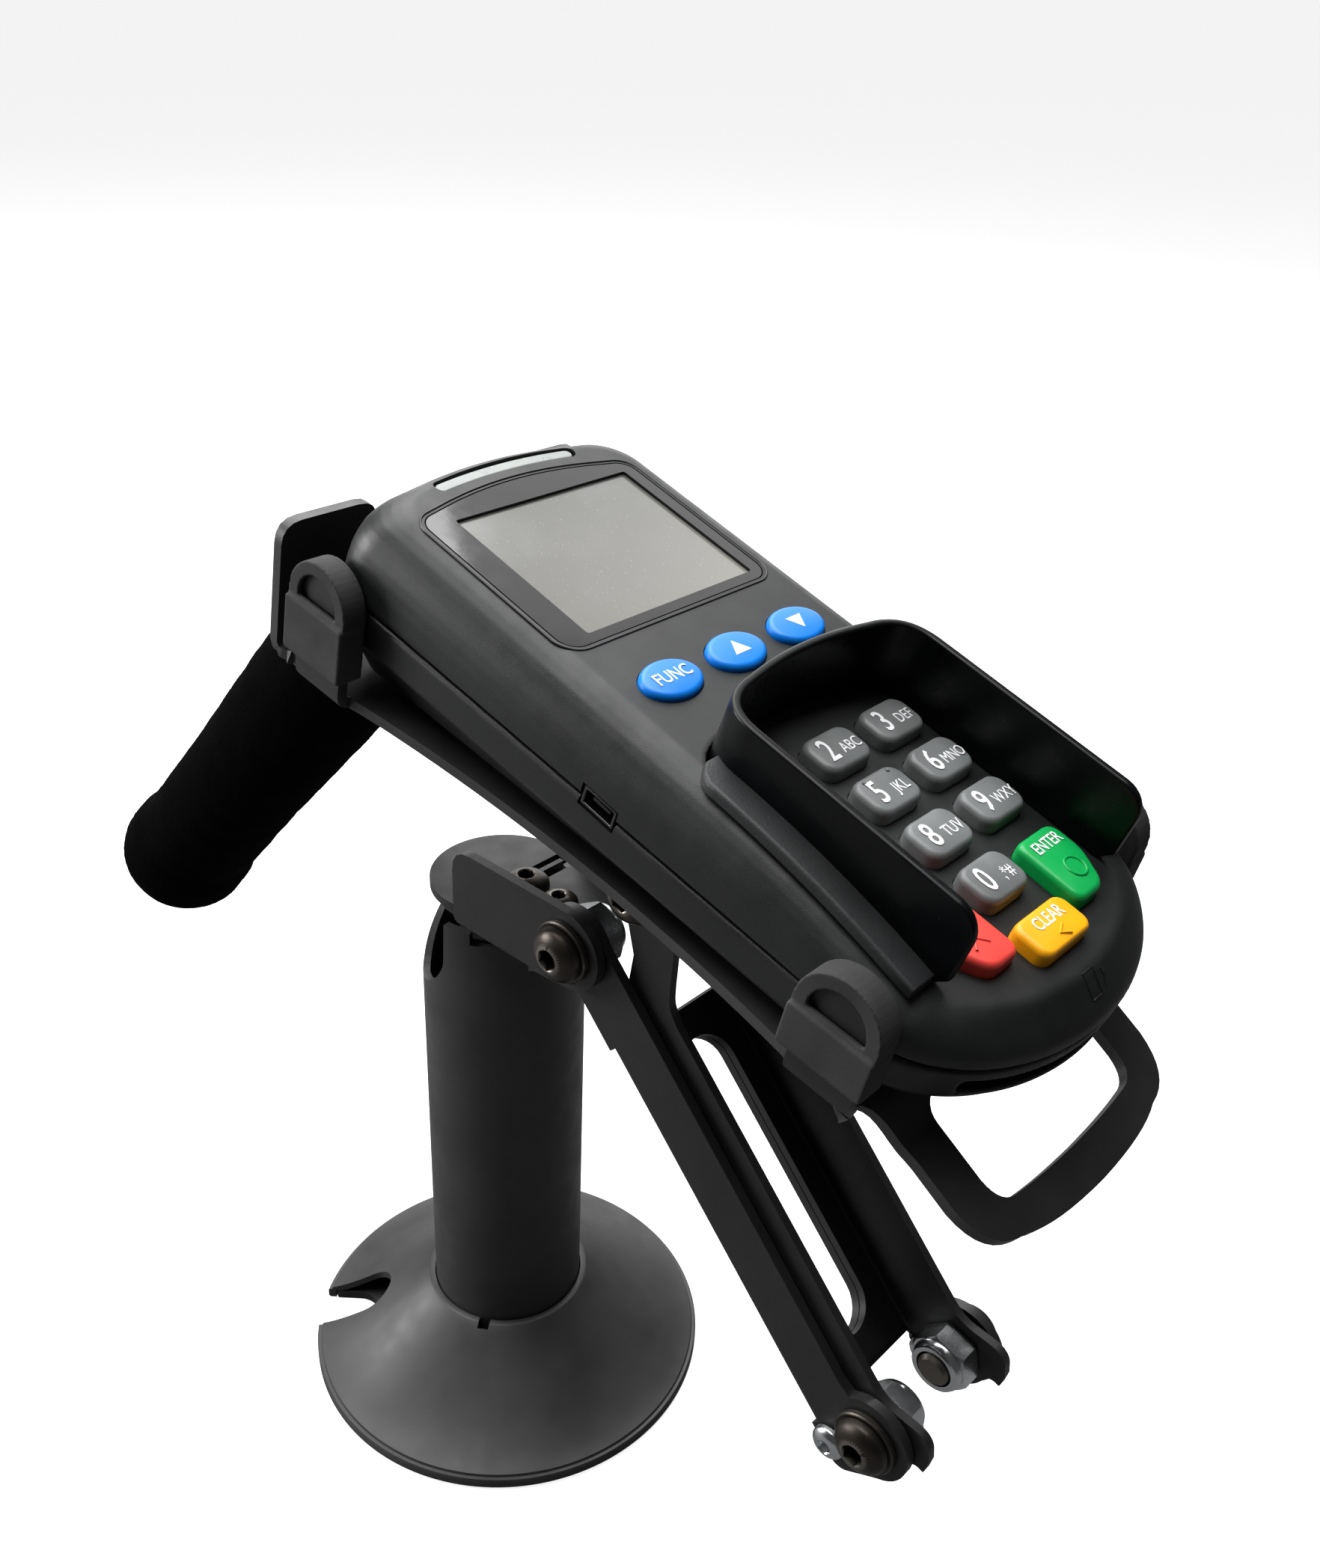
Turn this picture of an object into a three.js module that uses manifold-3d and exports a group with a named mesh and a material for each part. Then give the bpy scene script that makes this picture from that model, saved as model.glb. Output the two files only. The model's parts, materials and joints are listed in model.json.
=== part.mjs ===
// Countertop card payment terminal: a key-pad terminal clipped into a steel tray with two handles,
// carried by a folding two-part arm on a swivelling pole stand. Millimetres, +Z up.
// The origin is on the pole axis at the underside of the base; the key pad end faces -Y.
import * as THREE from 'three';
import { mergeVertices } from 'three/addons/utils/BufferGeometryUtils.js';
import Module from 'manifold-3d';

const wasm = await Module();
wasm.setup();

// ---------- driving dimensions ----------
const GAP = 0.3;
const DEG = Math.PI / 180;
const ROUND = 20;
const FAR = 30;   // how far through-holes and tools reach from the middle plane

const pole = { radius: 20, wall: 1.8, bottom: 2.9, top: 149.5 };
const poleNotch = { angle: -144, half: 4, depth: 3.4 };
// Cable window in the pole's side, seen along its angle: [offset along the wall, height].
const poleWindow = {
  angle: 131,
  outline: [
    [-17, 151], [-15.9, 144.6], [0, 128], [3, 127.2], [9, 128.4], [13, 131.5], [15.9, 137], [15.9, 151],
  ],
};
const bush = { low: 140, high: 147, half: 17 };
const base = { radius: 53.8, rim: 3.8, collar: 21.9, height: 24.3, shell: 2.2, plate: 2.6 };
const notch = { angle: 131, inner: 40, width: 13, inset: 4, reach: 70 };
const collarNotch = { angle: -150, half: 1.6, depth: 2.4 };
const cap = { radius: 16, thickness: 2.2, spigot: 7, spigotDepth: 12.8 };
const ring = { radius: 10, low: 138, high: 139.4, slit: 2 };
const bracket = {
  half: 21.2, sheet: 2.2, floor: 152.3, back: -6.5, front: -31, plateBack: 17.5, endRadius: 9.6, low: 154.5,
  backCorner: 5,
};
const shoulder = { y: -42.5, z: 164, boltTip: 7, nut: [8.3, 15.9] };
const swivelScrews = {
  hole: 3.3, shank: 2.9, length: 5.2,
  main: { y: -8, radius: 5.6, height: 3.4, socket: 2.1 },
  lock: { y: -19, radius: 4.6, height: 2.7, socket: 1.7 },
};
const boltHead = { radius: 6.4, height: 4.1, socket: 2.6, washerRadius: 7.2, washer: 1.5, lift: 0.2 };
const nut = { radius: 7.4, collarRadius: 6.1, collar: 1.6 };

const arm = {
  angle: 46.3, elbowY: -117.5, elbowZ: 7.6, bolt: 3.9, boltHole: 4.2, boltTip: 4.8, nut: [5.8, 13.3],
};
const lower = { inner: 16.2, outer: 18.5, web: -7, open: 8.3, endRadius: 9.7, shoulderRadius: 9 };
const upper = { inner: 13.6, outer: 15.6, web: -4.4, open: 13.8, endRadius: 8.7, earRadius: 8.5 };
const webSheet = 2.1;
const slot = { start: -31, end: -104, half: 7.5 };
const webRange = { start: -24, end: -112.8 };
const stopScrew = {
  y: -117.3, z: -3.9, shank: 2.5, hole: 2.8, radius: 4, height: 2.6, socket: 1.6, lift: 0.2,
};
const tilt = { y: 3.8, z: 27.9 };

const tray = { angle: 11.7, sheet: 2.4, top: 14.9, halfWaist: 36, halfEnd: 40, front: -66.9, back: 90.4 };
const saddle = { half: 18.3, reach: 18, sheet: 2.2, earRadius: 8.5, earHalf: 7.5, earLow: -4 };
const rearWall = { height: 29, half: 42, corner: 5, middleHalf: 18 };
const handleTab = { half: 15, start: -2, end: 24, hole: 3.3 };
const clip = { width: 14, inside: 41.0, sheet: 2.2, sleeveWidth: 17.5 };
const clips = { front: { y: -60.9, tabTop: 37.4 }, rear: { y: 72.6, tabTop: 40.8 } };
const sleeve = { low: 20.4, cover: 2.6, inside: 39.1, outside: 44.7, clearance: 0.3, window: 5.2 };
const loop = { half: 33, inner: 24, near: -100.2, innerNear: -92.8, innerFar: -72 };
const grip = {
  rootY: 95, rootZ: 17, angle: 58.8, start: 4, length: 181, radius: 17.8, endRadius: 19.3, bore: 5.3, plug: 8,
  neck: 2.9, neckTop: 5.4, nutRadius: 5.8, nutLow: 2.4, nutHigh: 5, nutHole: 3.2,
};

const terminal = { y: -35.2, z: 42.1, angle: 6.45 };
const body = { half: 38.6, cornerFar: 9, farV: 114.5, bulge: 2.6, nearV: -29, nearDepth: 24.5, wall: 2.2 };
const seam = { level: -13.8, slope: -0.043 };
const floorLine = { level: -26.9, slope: -0.113 };
const deck = { level: -3.2, slope: 0.042, half: 30.6, far: 26 };
const roof = { level: -5.6, slope: 0.042 };
const droop = { from: 15, rate: 0.0022 };
const key = { pitchU: 17.3, pitchV: 12.3, width: 13.4, height: 9.2, bottom: -6.4, clearance: 0.4 };
const oval = { v: 39.6, halfU: 7.2, halfV: 5.1, pitch: 18.35, top: 3.2 };
const lens = { half: 28.6, near: 54.8, far: 98.8, bulge: 3.4, corner: 4, top: 1.4, thickness: 1.5 };
const lcd = { half: 25.6, near: 56.4, far: 97, top: -0.45, thickness: 2.4 };
const lightStrip = { radius: 120, middle: 108.6, half: 2.2, sweep: 8.8, low: -0.5, high: 0.6, floor: -0.9 };
const shield = { half: 28.3, wall: 1.9, far: 27, near: -34.5, rim: 13.4, strip: 34, corner: 5.5 };
const ledge = { low: 1.8, high: 3.1, stations: [20, 10, 0, -10, -20, -28, -36] };
const usb = {
  near: 28.4, far: 36.6, low: -16.8, high: -12.6, outer: 38.3, inner: 30.5, wall: 0.6, room: 0.5,
};
const cardMouth = { half: 28.5, near: -60, far: -14, low: -19.2, high: -14.4 };

const colours = {
  powder: 0x202123, plate: 0x2a2b2d, plastic: 0x25272a, shell: 0x1b1c1e, rubber: 0x3a3a3b, foam: 0x0b0b0c,
  zinc: 0xc4c8cb, blackSteel: 0x2b2723, greyKey: 0x6d6f72, blue: 0x1478d4, red: 0xe0483f, yellow: 0xf3b02a,
  green: 0x17b257, lens: 0x101113, lcd: 0x87877f, bar: 0xb9c2c4, board: 0x1f5a38, silicone: 0x9a9da0,
};

// ---------- solids ----------
function toManifold(geometry) {
  const plain = geometry.clone();
  plain.deleteAttribute('normal');
  plain.deleteAttribute('uv');
  const welded = mergeVertices(plain, 1e-5);
  const vertProperties = new Float32Array(welded.attributes.position.array);
  const triVerts = new Uint32Array(welded.index.array);
  return new wasm.Manifold(new wasm.Mesh({ numProp: 3, vertProperties, triVerts }));
}

function toGeometry(solid) {
  const mesh = solid.getMesh();
  const geometry = new THREE.BufferGeometry();
  geometry.setAttribute('position', new THREE.BufferAttribute(new Float32Array(mesh.vertProperties), 3));
  geometry.setIndex(new THREE.BufferAttribute(new Uint32Array(mesh.triVerts), 1));
  const flat = geometry.toNonIndexed();
  flat.computeVertexNormals();
  return flat;
}

function join(first, ...rest) {
  return rest.reduce((sum, piece) => sum.add(piece), first);
}

function cut(first, ...tools) {
  return tools.reduce((left, tool) => left.subtract(tool), first);
}

function block(x0, x1, y0, y1, z0, z1) {
  const geometry = new THREE.BoxGeometry(x1 - x0, y1 - y0, z1 - z0);
  geometry.translate((x0 + x1) / 2, (y0 + y1) / 2, (z0 + z1) / 2);
  return toManifold(geometry);
}

function rodZ(radius, x, y, z0, z1, segments = ROUND) {
  const geometry = new THREE.CylinderGeometry(radius, radius, z1 - z0, segments);
  geometry.rotateX(Math.PI / 2);
  geometry.translate(x, y, (z0 + z1) / 2);
  return toManifold(geometry);
}

function rodX(radius, y, z, x0, x1, segments = ROUND) {
  const geometry = new THREE.CylinderGeometry(radius, radius, x1 - x0, segments);
  geometry.rotateZ(Math.PI / 2);
  geometry.translate((x0 + x1) / 2, y, z);
  return toManifold(geometry);
}

function shapeOf(points) {
  return new THREE.Shape(points.map(([a, b]) => new THREE.Vector2(a, b)));
}

function extrude(shape, depth, segments) {
  return new THREE.ExtrudeGeometry(shape, { depth, bevelEnabled: false, curveSegments: segments });
}

// A plan outline in (x, y), standing from z0 to z1.
function prismZ(shape, z0, z1, segments = 8) {
  const geometry = extrude(shape, z1 - z0, segments);
  geometry.translate(0, 0, z0);
  return toManifold(geometry);
}

// A side outline in (y, z), reaching from x0 to x1.
function prismX(shape, x0, x1, segments = 8) {
  const geometry = extrude(shape, x1 - x0, segments);
  const turn = new THREE.Matrix4().makeBasis(
    new THREE.Vector3(0, 1, 0), new THREE.Vector3(0, 0, 1), new THREE.Vector3(1, 0, 0));
  geometry.applyMatrix4(turn);
  geometry.translate(x0, 0, 0);
  return toManifold(geometry);
}

function revolve(profile, segments = ROUND) {
  const points = [...profile, profile[0]].map(([r, z]) => new THREE.Vector2(r, z));
  const geometry = new THREE.LatheGeometry(points, segments);
  geometry.rotateX(Math.PI / 2);
  return toManifold(geometry);
}

// Rings of equal point count, listed from the bottom up, closed by a flat fan at each end.
function stack(rings) {
  const count = rings[0].length;
  const positions = rings.flat().flat();
  const index = [];
  for (let level = 0; level < rings.length - 1; level += 1) {
    for (let i = 0; i < count; i += 1) {
      const a = level * count + i;
      const b = level * count + ((i + 1) % count);
      index.push(a, b, b + count, a, b + count, a + count);
    }
  }
  const last = (rings.length - 1) * count;
  for (let i = 1; i < count - 1; i += 1) {
    index.push(0, i + 1, i);
    index.push(last, last + i, last + i + 1);
  }
  const geometry = new THREE.BufferGeometry();
  geometry.setAttribute('position', new THREE.Float32BufferAttribute(positions, 3));
  geometry.setIndex(index);
  return toManifold(geometry.toNonIndexed());
}

function arcPoints(x, y, radiusX, radiusY, from, to, steps) {
  return Array.from({ length: steps + 1 }, (_, i) => {
    const angle = (from + (to - from) * i / steps) * DEG;
    return [x + radiusX * Math.cos(angle), y + radiusY * Math.sin(angle)];
  });
}

function roundedBox(half, near, far, radius, steps = 4) {
  return [
    ...arcPoints(half - radius, near + radius, radius, radius, -90, 0, steps),
    ...arcPoints(half - radius, far - radius, radius, radius, 0, 90, steps),
    ...arcPoints(-half + radius, far - radius, radius, radius, 90, 180, steps),
    ...arcPoints(-half + radius, near + radius, radius, radius, 180, 270, steps),
  ];
}

function mirrored(solid) {
  return solid.mirror([1, 0, 0]);
}

// ---------- scene helpers ----------
function part(name, solid, colour, roughness, metalness = 0) {
  const material = new THREE.MeshStandardMaterial({ color: colour, roughness, metalness });
  const mesh = new THREE.Mesh(toGeometry(solid), material);
  mesh.name = name;
  return mesh;
}

function frame(name, y, z, degrees) {
  const group = new THREE.Group();
  group.name = name;
  group.position.set(0, y, z);
  group.rotation.x = degrees * DEG;
  return group;
}

// ---------- stand ----------
function basePlate() {
  const disc = rodZ(base.radius - base.shell - GAP, 0, 0, 0, base.plate, 36);
  return cut(disc, cableNotch(-1, base.plate + 1, notch.inner + notch.inset));
}

function cableNotch(z0, z1, inner) {
  const half = notch.width / 2;
  const tool = join(block(inner, notch.reach, -half, half, z0, z1), rodZ(half, inner, 0, z0, z1));
  return tool.rotate([0, 0, notch.angle]);
}

function baseCover() {
  const steps = 5;
  const slopeAt = (k) => base.rim + (base.height - base.rim) * (1 - k) ** 1.35;
  const curve = Array.from({ length: steps + 1 }, (_, i) => i / steps);
  const radiusAt = (k) => base.collar + (base.radius - base.collar) * k;
  const outside = curve.map((k) => [radiusAt(k), slopeAt(k)]);
  const skirt = base.radius - base.shell + 0.1;
  const inside = curve.map((k) => [
    Math.min(radiusAt(k), skirt), Math.max(slopeAt(k) - base.shell, base.plate + GAP)]);
  const bore = pole.radius + GAP;
  const profile = [
    [base.radius, GAP],
    ...outside.reverse(),
    [bore, base.height],
    [bore, base.height - base.shell],
    ...inside,
    [skirt, GAP],
  ];
  const { angle, half, depth } = collarNotch;
  const collarCut = block(bore - 1, base.collar + 1, -half, half, base.height - depth, base.height + 1);
  return cut(
    revolve(profile, 36), cableNotch(-1, base.height, notch.inner), collarCut.rotate([0, 0, angle]));
}

function poleTube() {
  const tube = cut(
    rodZ(pole.radius, 0, 0, pole.bottom, pole.top, 40),
    rodZ(pole.radius - pole.wall, 0, 0, pole.bottom - 1, pole.top + 1, 40));
  const window = prismX(shapeOf(poleWindow.outline), 5, FAR).rotate([0, 0, poleWindow.angle]);
  const { angle, half, depth } = poleNotch;
  const smallNotch = block(5, FAR, -half, half, pole.top - depth, pole.top + 1).rotate([0, 0, angle]);
  return cut(tube, window, smallNotch);
}

function poleBush() {
  const outer = pole.radius - pole.wall - GAP;
  const { low, high, half } = bush;
  return cut(
    rodZ(outer, 0, 0, low, high, 28),
    rodZ(cap.spigot + GAP, 0, 0, low - 1, high + 1),
    block(outer / 2, FAR, -half, half, low - 1, high + 1).rotate([0, 0, poleWindow.angle]));
}

function swivelScrewHoles(low, high) {
  const { main, lock, hole } = swivelScrews;
  return [main, lock].map(({ y }) => rodZ(hole, 0, y, low, high));
}

function swivelCap() {
  const low = pole.top + GAP;
  const high = low + cap.thickness;
  const disc = rodZ(cap.radius, 0, 0, low, high, 40);
  const spigot = rodZ(cap.spigot, 0, 0, low - cap.spigotDepth, low + cap.thickness / 2);
  return cut(join(disc, spigot), ...swivelScrewHoles(low - 1, high + 1));
}

function retainingRing() {
  const { radius, low, high, slit } = ring;
  return cut(
    rodZ(radius, 0, 0, low, high),
    rodZ(cap.spigot + GAP, 0, 0, low - 1, high + 1),
    block(0, radius + 2, -slit, slit, low - 1, high + 1));
}

function swivelBracket() {
  const { half, sheet, floor, back, front, plateBack, endRadius, low, backCorner } = bracket;
  const side = (x0, x1) => {
    const { y, z } = shoulder;
    const shape = shapeOf([
      [back - 2.5, floor],
      ...arcPoints(y, z, endRadius, endRadius, 270, 90, 12).map(([a, b]) => [a, Math.max(b, low)]),
      ...arcPoints(back - backCorner, z + endRadius - backCorner, backCorner, backCorner, 90, 0, 4),
      [back, floor + 3],
    ]);
    return prismX(shape, x0, x1);
  };
  const floorPlate = prismZ(shapeOf(roundedBox(half, front, back + 1.5, 2, 3)), floor, floor + sheet);
  const roundBack = rodZ(plateBack, 0, 0, floor, floor + sheet, 32);
  const flanges = join(side(half - sheet, half), side(-half, -half + sheet));
  const shoulderHole = rodX(arm.boltHole, shoulder.y, shoulder.z, -FAR, FAR);
  return cut(
    join(floorPlate, roundBack, flanges), shoulderHole, ...swivelScrewHoles(floor - 1, floor + sheet + 1));
}

// Button-head screw along +Z: underside of the head at z = 0, head upward, shank downward.
function buttonHead(radius, height, shank, length, socket) {
  const dome = arcPoints(0, 0, radius, height, 0, 90, 4).map(([r, z]) => [Math.max(r, 0), z]);
  const head = revolve([[0, 0], ...dome.slice(0, -1), [0, height]], 16);
  const stem = rodZ(shank, 0, 0, -length, 0.2, 12);
  const hex = rodZ(socket, 0, 0, height * 0.35, height + 1, 6);
  return cut(join(head, stem), hex);
}

function swivelScrew({ y, radius, height, socket }) {
  const { shank, length } = swivelScrews;
  const top = bracket.floor + bracket.sheet + boltHead.lift;
  return buttonHead(radius, height, shank, length, socket).translate([0, y, top]);
}

// Pivot bolt with its washer, on the +X side; face is where the washer meets the sheet.
function pivotBolt({ y, z }, face, tip) {
  const { radius, height, socket, washerRadius, washer, lift } = boltHead;
  const screw = buttonHead(radius, height, arm.bolt, face + washer - tip, socket);
  const disc = rodZ(washerRadius, 0, 0, -washer, 0.1);
  return join(screw, disc).rotate([0, 90, 0]).translate([face + washer + lift, y, z]);
}

function hexNut({ y, z }, [x0, x1]) {
  const hexagon = rodX(nut.radius, y, z, x0 + nut.collar, x1, 6);
  const collar = rodX(nut.collarRadius, y, z, x0, x1 - 1, 12);
  return cut(join(hexagon, collar), rodX(arm.boltHole, y, z, x0 - 1, x1 + 1, 12));
}

// ---------- folding arm, in the arm frame: origin on the shoulder pivot, -Y toward the elbow ----------
function lowerArm() {
  const { inner, outer, web, open, endRadius, shoulderRadius } = lower;
  const flange = join(
    prismX(shapeOf([
      [arm.elbowY, web],
      [arm.elbowY, open],
      [-4, open],
      [2, open - 1],
      [2, web],
    ]), inner, outer),
    rodX(shoulderRadius, 0, 0, inner, outer),
    rodX(endRadius, arm.elbowY, arm.elbowZ, inner, outer, 24),
    prismX(shapeOf([
      [arm.elbowY + 6, web],
      [arm.elbowY + 6, open],
      [arm.elbowY - endRadius + 0.4, arm.elbowZ - 2.5],
      [arm.elbowY - 6.5, web + 1.2],
      [arm.elbowY - 4.5, web - 0.3],
    ]), inner, outer));
  const floor = block(-inner - 0.5, inner + 0.5, webRange.end, webRange.start, web, web + webSheet);
  const opening = webSlot(web);
  return cut(
    join(flange, mirrored(flange), floor), opening,
    rodX(arm.boltHole, 0, 0, -FAR, FAR),
    rodX(arm.boltHole, arm.elbowY, arm.elbowZ, -FAR, FAR),
    rodX(stopScrew.hole, stopScrew.y, stopScrew.z, -FAR, FAR, 20));
}

function webSlot(web) {
  const z0 = web - 3;
  const z1 = web + webSheet + 1;
  return join(
    block(-slot.half, slot.half, slot.end + slot.half, slot.start - slot.half, z0, z1),
    rodZ(slot.half, 0, slot.end + slot.half, z0, z1),
    rodZ(slot.half, 0, slot.start - slot.half, z0, z1));
}

function upperArm() {
  const { inner, outer, web, open, endRadius, earRadius } = upper;
  const elbow = [arm.elbowY, arm.elbowZ];
  const side = shapeOf([
    [elbow[0], web + 5],
    [webRange.end, web],
    [webRange.start + 3, web],
    [-15.5, 2.5],
    [-7.5, 12.8],
    [tilt.y + earRadius * 0.8, tilt.z - earRadius * 0.6],
    [tilt.y, tilt.z + 1],
    [tilt.y - 6, tilt.z + 5.9],
    [-17.5, 18],
    [-21.5, open + 0.6],
    [-25, open],
    [elbow[0] + 5.5, open],
    [elbow[0] + 0.5, elbow[1] + 10.9],
    [elbow[0] - 2, elbow[1] + 12.7],
    [elbow[0] - 4.6, elbow[1] + 12.6],
    [elbow[0] - 7.6, elbow[1] + 10.4],
    [elbow[0] - 9.9, elbow[1] + 7.1],
    [elbow[0] - 8.4, elbow[1] + 6.6],
    [elbow[0] - 7.6, elbow[1] + 5.2],
    [elbow[0] - 7.9, elbow[1] + 3],
  ].reverse());
  const flange = join(
    prismX(side, inner, outer),
    rodX(endRadius, elbow[0], elbow[1], inner, outer, 24),
    rodX(earRadius, tilt.y, tilt.z, inner, outer, 24));
  const floor = block(-inner - 0.5, inner + 0.5, webRange.end, webRange.start, web, web + webSheet);
  return cut(
    join(flange, mirrored(flange), floor), webSlot(web),
    rodX(arm.boltHole, elbow[0], elbow[1], -FAR, FAR),
    rodX(arm.boltHole, tilt.y, tilt.z, -FAR, FAR));
}

function stopScrewSolid() {
  const { y, z, shank, radius, height, socket, lift } = stopScrew;
  const screw = buttonHead(radius, height, shank, lower.outer - upper.inner + GAP, socket);
  return screw.rotate([0, 90, 0]).translate([lower.outer + lift, y, z]);
}

// ---------- tray, in the tray frame: origin on the tilt pivot, +Y toward the far end ----------
function trayBracket() {
  const top = tray.top - tray.sheet - GAP;
  const { half, reach, sheet, earRadius, earHalf, earLow } = saddle;
  const side = shapeOf([
    [-reach, top],
    [-reach, top - 4],
    [-earHalf, earLow],
    [earHalf, earLow],
    [reach, top - 4],
    [reach, top],
  ]);
  const flange = join(prismX(side, half - sheet, half), rodX(earRadius, 0, 0, half - sheet, half));
  const plate = block(-half, half, -reach, reach, top - sheet, top);
  return cut(join(plate, flange, mirrored(flange)), rodX(arm.boltHole, 0, 0, -FAR, FAR));
}

function trayPlan() {
  const { halfWaist, halfEnd, front, back } = tray;
  const middle = (clips.front.y + clips.rear.y) / 2;
  const reach = clips.rear.y - clip.width / 2 - 1 - middle;
  const side = Array.from({ length: 11 }, (_, i) => {
    const y = middle - reach + 2 * reach * i / 10;
    return [halfWaist + (halfEnd - halfWaist) * ((y - middle) / reach) ** 2, y];
  });
  const right = [[halfEnd, front], ...side, [halfEnd, back]];
  const left = right.map(([x, y]) => [-x, y]).reverse();
  return shapeOf([...right, ...left]);
}

function trayLoop() {
  const { half, inner, near, innerNear, innerFar } = loop;
  const topLine = (y) => {
    const ease = THREE.MathUtils.smoothstep(-y, 62, 76);
    const slope = 4.5 + (y + 80.8) * Math.tan(22.3 * DEG);
    return tray.top * (1 - ease) + slope * ease;
  };
  const stations = [-60, -63, -66, -68, -70, -72, -74, -76, -80, -86, -93, -103];
  const upside = stations.map((y) => [y, topLine(y)]);
  const downside = stations.map((y) => [y, topLine(y) - tray.sheet]).reverse();
  const sheetSolid = prismX(shapeOf([...upside, ...downside]), -46, 46);
  const outerPlan = new THREE.Shape();
  outerPlan.moveTo(-half - 6.5, -60);
  outerPlan.lineTo(-half - 6, -64);
  outerPlan.quadraticCurveTo(-half - 0.5, -69, -half, -78);
  outerPlan.lineTo(-half, near + 13);
  outerPlan.quadraticCurveTo(-half + 1, near + 4, -half + 10, near + 3);
  outerPlan.quadraticCurveTo(0, near - 2.4, half - 10, near + 3);
  outerPlan.quadraticCurveTo(half - 1, near + 4, half, near + 13);
  outerPlan.lineTo(half, -78);
  outerPlan.quadraticCurveTo(half + 0.5, -69, half + 6, -64);
  outerPlan.lineTo(half + 6.5, -60);
  const innerPlan = new THREE.Shape();
  innerPlan.moveTo(-inner, innerFar);
  innerPlan.lineTo(-inner, innerNear + 6);
  innerPlan.quadraticCurveTo(-inner + 0.5, innerNear + 1, -inner + 5, innerNear + 0.8);
  innerPlan.quadraticCurveTo(0, innerNear - 1.6, inner - 5, innerNear + 0.8);
  innerPlan.quadraticCurveTo(inner - 0.5, innerNear + 1, inner, innerNear + 6);
  innerPlan.lineTo(inner, innerFar);
  const outline = prismZ(outerPlan, -20, 30, 6);
  const hole = prismZ(innerPlan, -20, 30, 6);
  return cut(sheetSolid.intersect(outline), hole);
}

function clipTab({ y, tabTop }) {
  const half = clip.width / 2;
  const outline = shapeOf([
    [y - half, tray.top - tray.sheet],
    [y + half, tray.top - tray.sheet],
    ...arcPoints(y, tabTop - half, half, half, 0, 180, 8),
  ]);
  const tab = prismX(outline, clip.inside, clip.inside + clip.sheet);
  const inner = tray.halfWaist - 2;
  const foot = block(inner, clip.inside + 1, y - half, y + half, tray.top - tray.sheet, tray.top);
  return join(tab, foot);
}

function traySolid() {
  const { sheet, top, back } = tray;
  const plate = prismZ(trayPlan(), top - sheet, top);
  const tabs = [clips.front, clips.rear].map(clipTab);
  const wall = block(-rearWall.half, rearWall.half, back - sheet, back, top - sheet, top + rearWall.height);
  const slope = [90 - grip.angle, 0, 0];
  const { half, start, end, hole } = handleTab;
  const gripTab = block(-half, half, start, end, 0, sheet)
    .rotate(slope).translate([0, back - 1.5, top - sheet]);
  const boltHole = gripFrame(rodZ(hole, 0, 0, -12, 12));
  return cut(
    join(plate, ...tabs, ...tabs.map(mirrored), cut(wall, wallTrim()), trayLoop(), gripTab), boltHole);
}

// Tool that rounds the two upper corners of the rear wall and opens its middle for the grip nut.
function wallTrim() {
  const { back } = tray;
  const { height, half, corner, middleHalf } = rearWall;
  const top = tray.top + height;
  const square = block(half - corner, half + corner, back - 10, back + 5, top - corner, top + 10);
  const round = new THREE.CylinderGeometry(corner, corner, 20, 24);
  round.translate(half - corner, back, top - corner);
  const trim = square.subtract(toManifold(round));
  const middle = block(-middleHalf, middleHalf, back - 10, back + 5, tray.top, top + 10);
  return join(trim, mirrored(trim), middle);
}

function clipSleeve({ y, tabTop }) {
  const half = clip.sleeveWidth / 2;
  const { low, cover, inside, outside, clearance, window } = sleeve;
  const top = tabTop + cover;
  const outline = (h, peak, floor) => shapeOf([
    [y - h, floor],
    [y + h, floor],
    ...arcPoints(y, peak - h, h, h, 0, 180, 10),
  ]);
  const skin = prismX(outline(half, top, low), inside, outside);
  const room = clip.width / 2 + clearance;
  const tabFace = clip.inside + clip.sheet;
  const pocket = prismX(
    outline(room, tabTop + clearance, low - 2), clip.inside - clearance, tabFace + clearance);
  const opening = arcPoints(y, top - half - 1.5, half - 3.2, window, 0, 180, 8);
  return cut(skin, pocket, prismX(shapeOf(opening), tabFace, outside + 5));
}

function gripFrame(solid) {
  return solid.rotate([90 - grip.angle, 0, 0]).translate([0, grip.rootY, grip.rootZ]);
}

function foamGrip() {
  const { start, length, radius, endRadius, bore, plug } = grip;
  const low = -length;
  return gripFrame(revolve([
    [0, low],
    [endRadius - 5.5, low],
    [endRadius - 1.6, low + 3],
    [endRadius, low + 9],
    [endRadius - 0.3, low + 15],
    [radius - 0.2, low + 24],
    [radius - 0.4, -length * 0.62],
    [radius + 0.2, -length * 0.3],
    [radius + 0.6, -start - 2.5],
    [radius - 1, -start],
    [bore, -start],
    [bore, low + plug],
    [0, low + plug],
  ], 24));
}

function gripRod() {
  const { bore, length, plug, neck: neckRadius, neckTop } = grip;
  const rod = rodZ(bore - GAP, 0, 0, -length + plug + 1, -1.2, 16);
  const neck = rodZ(neckRadius, 0, 0, -3, neckTop);
  return gripFrame(join(rod, neck));
}

function gripNut() {
  const { nutRadius, nutLow, nutHigh, nutHole } = grip;
  const hexagon = rodZ(nutRadius, 0, 0, nutLow, nutHigh, 6);
  return gripFrame(cut(hexagon, rodZ(nutHole, 0, 0, nutLow - 1, nutHigh + 1)));
}

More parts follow.
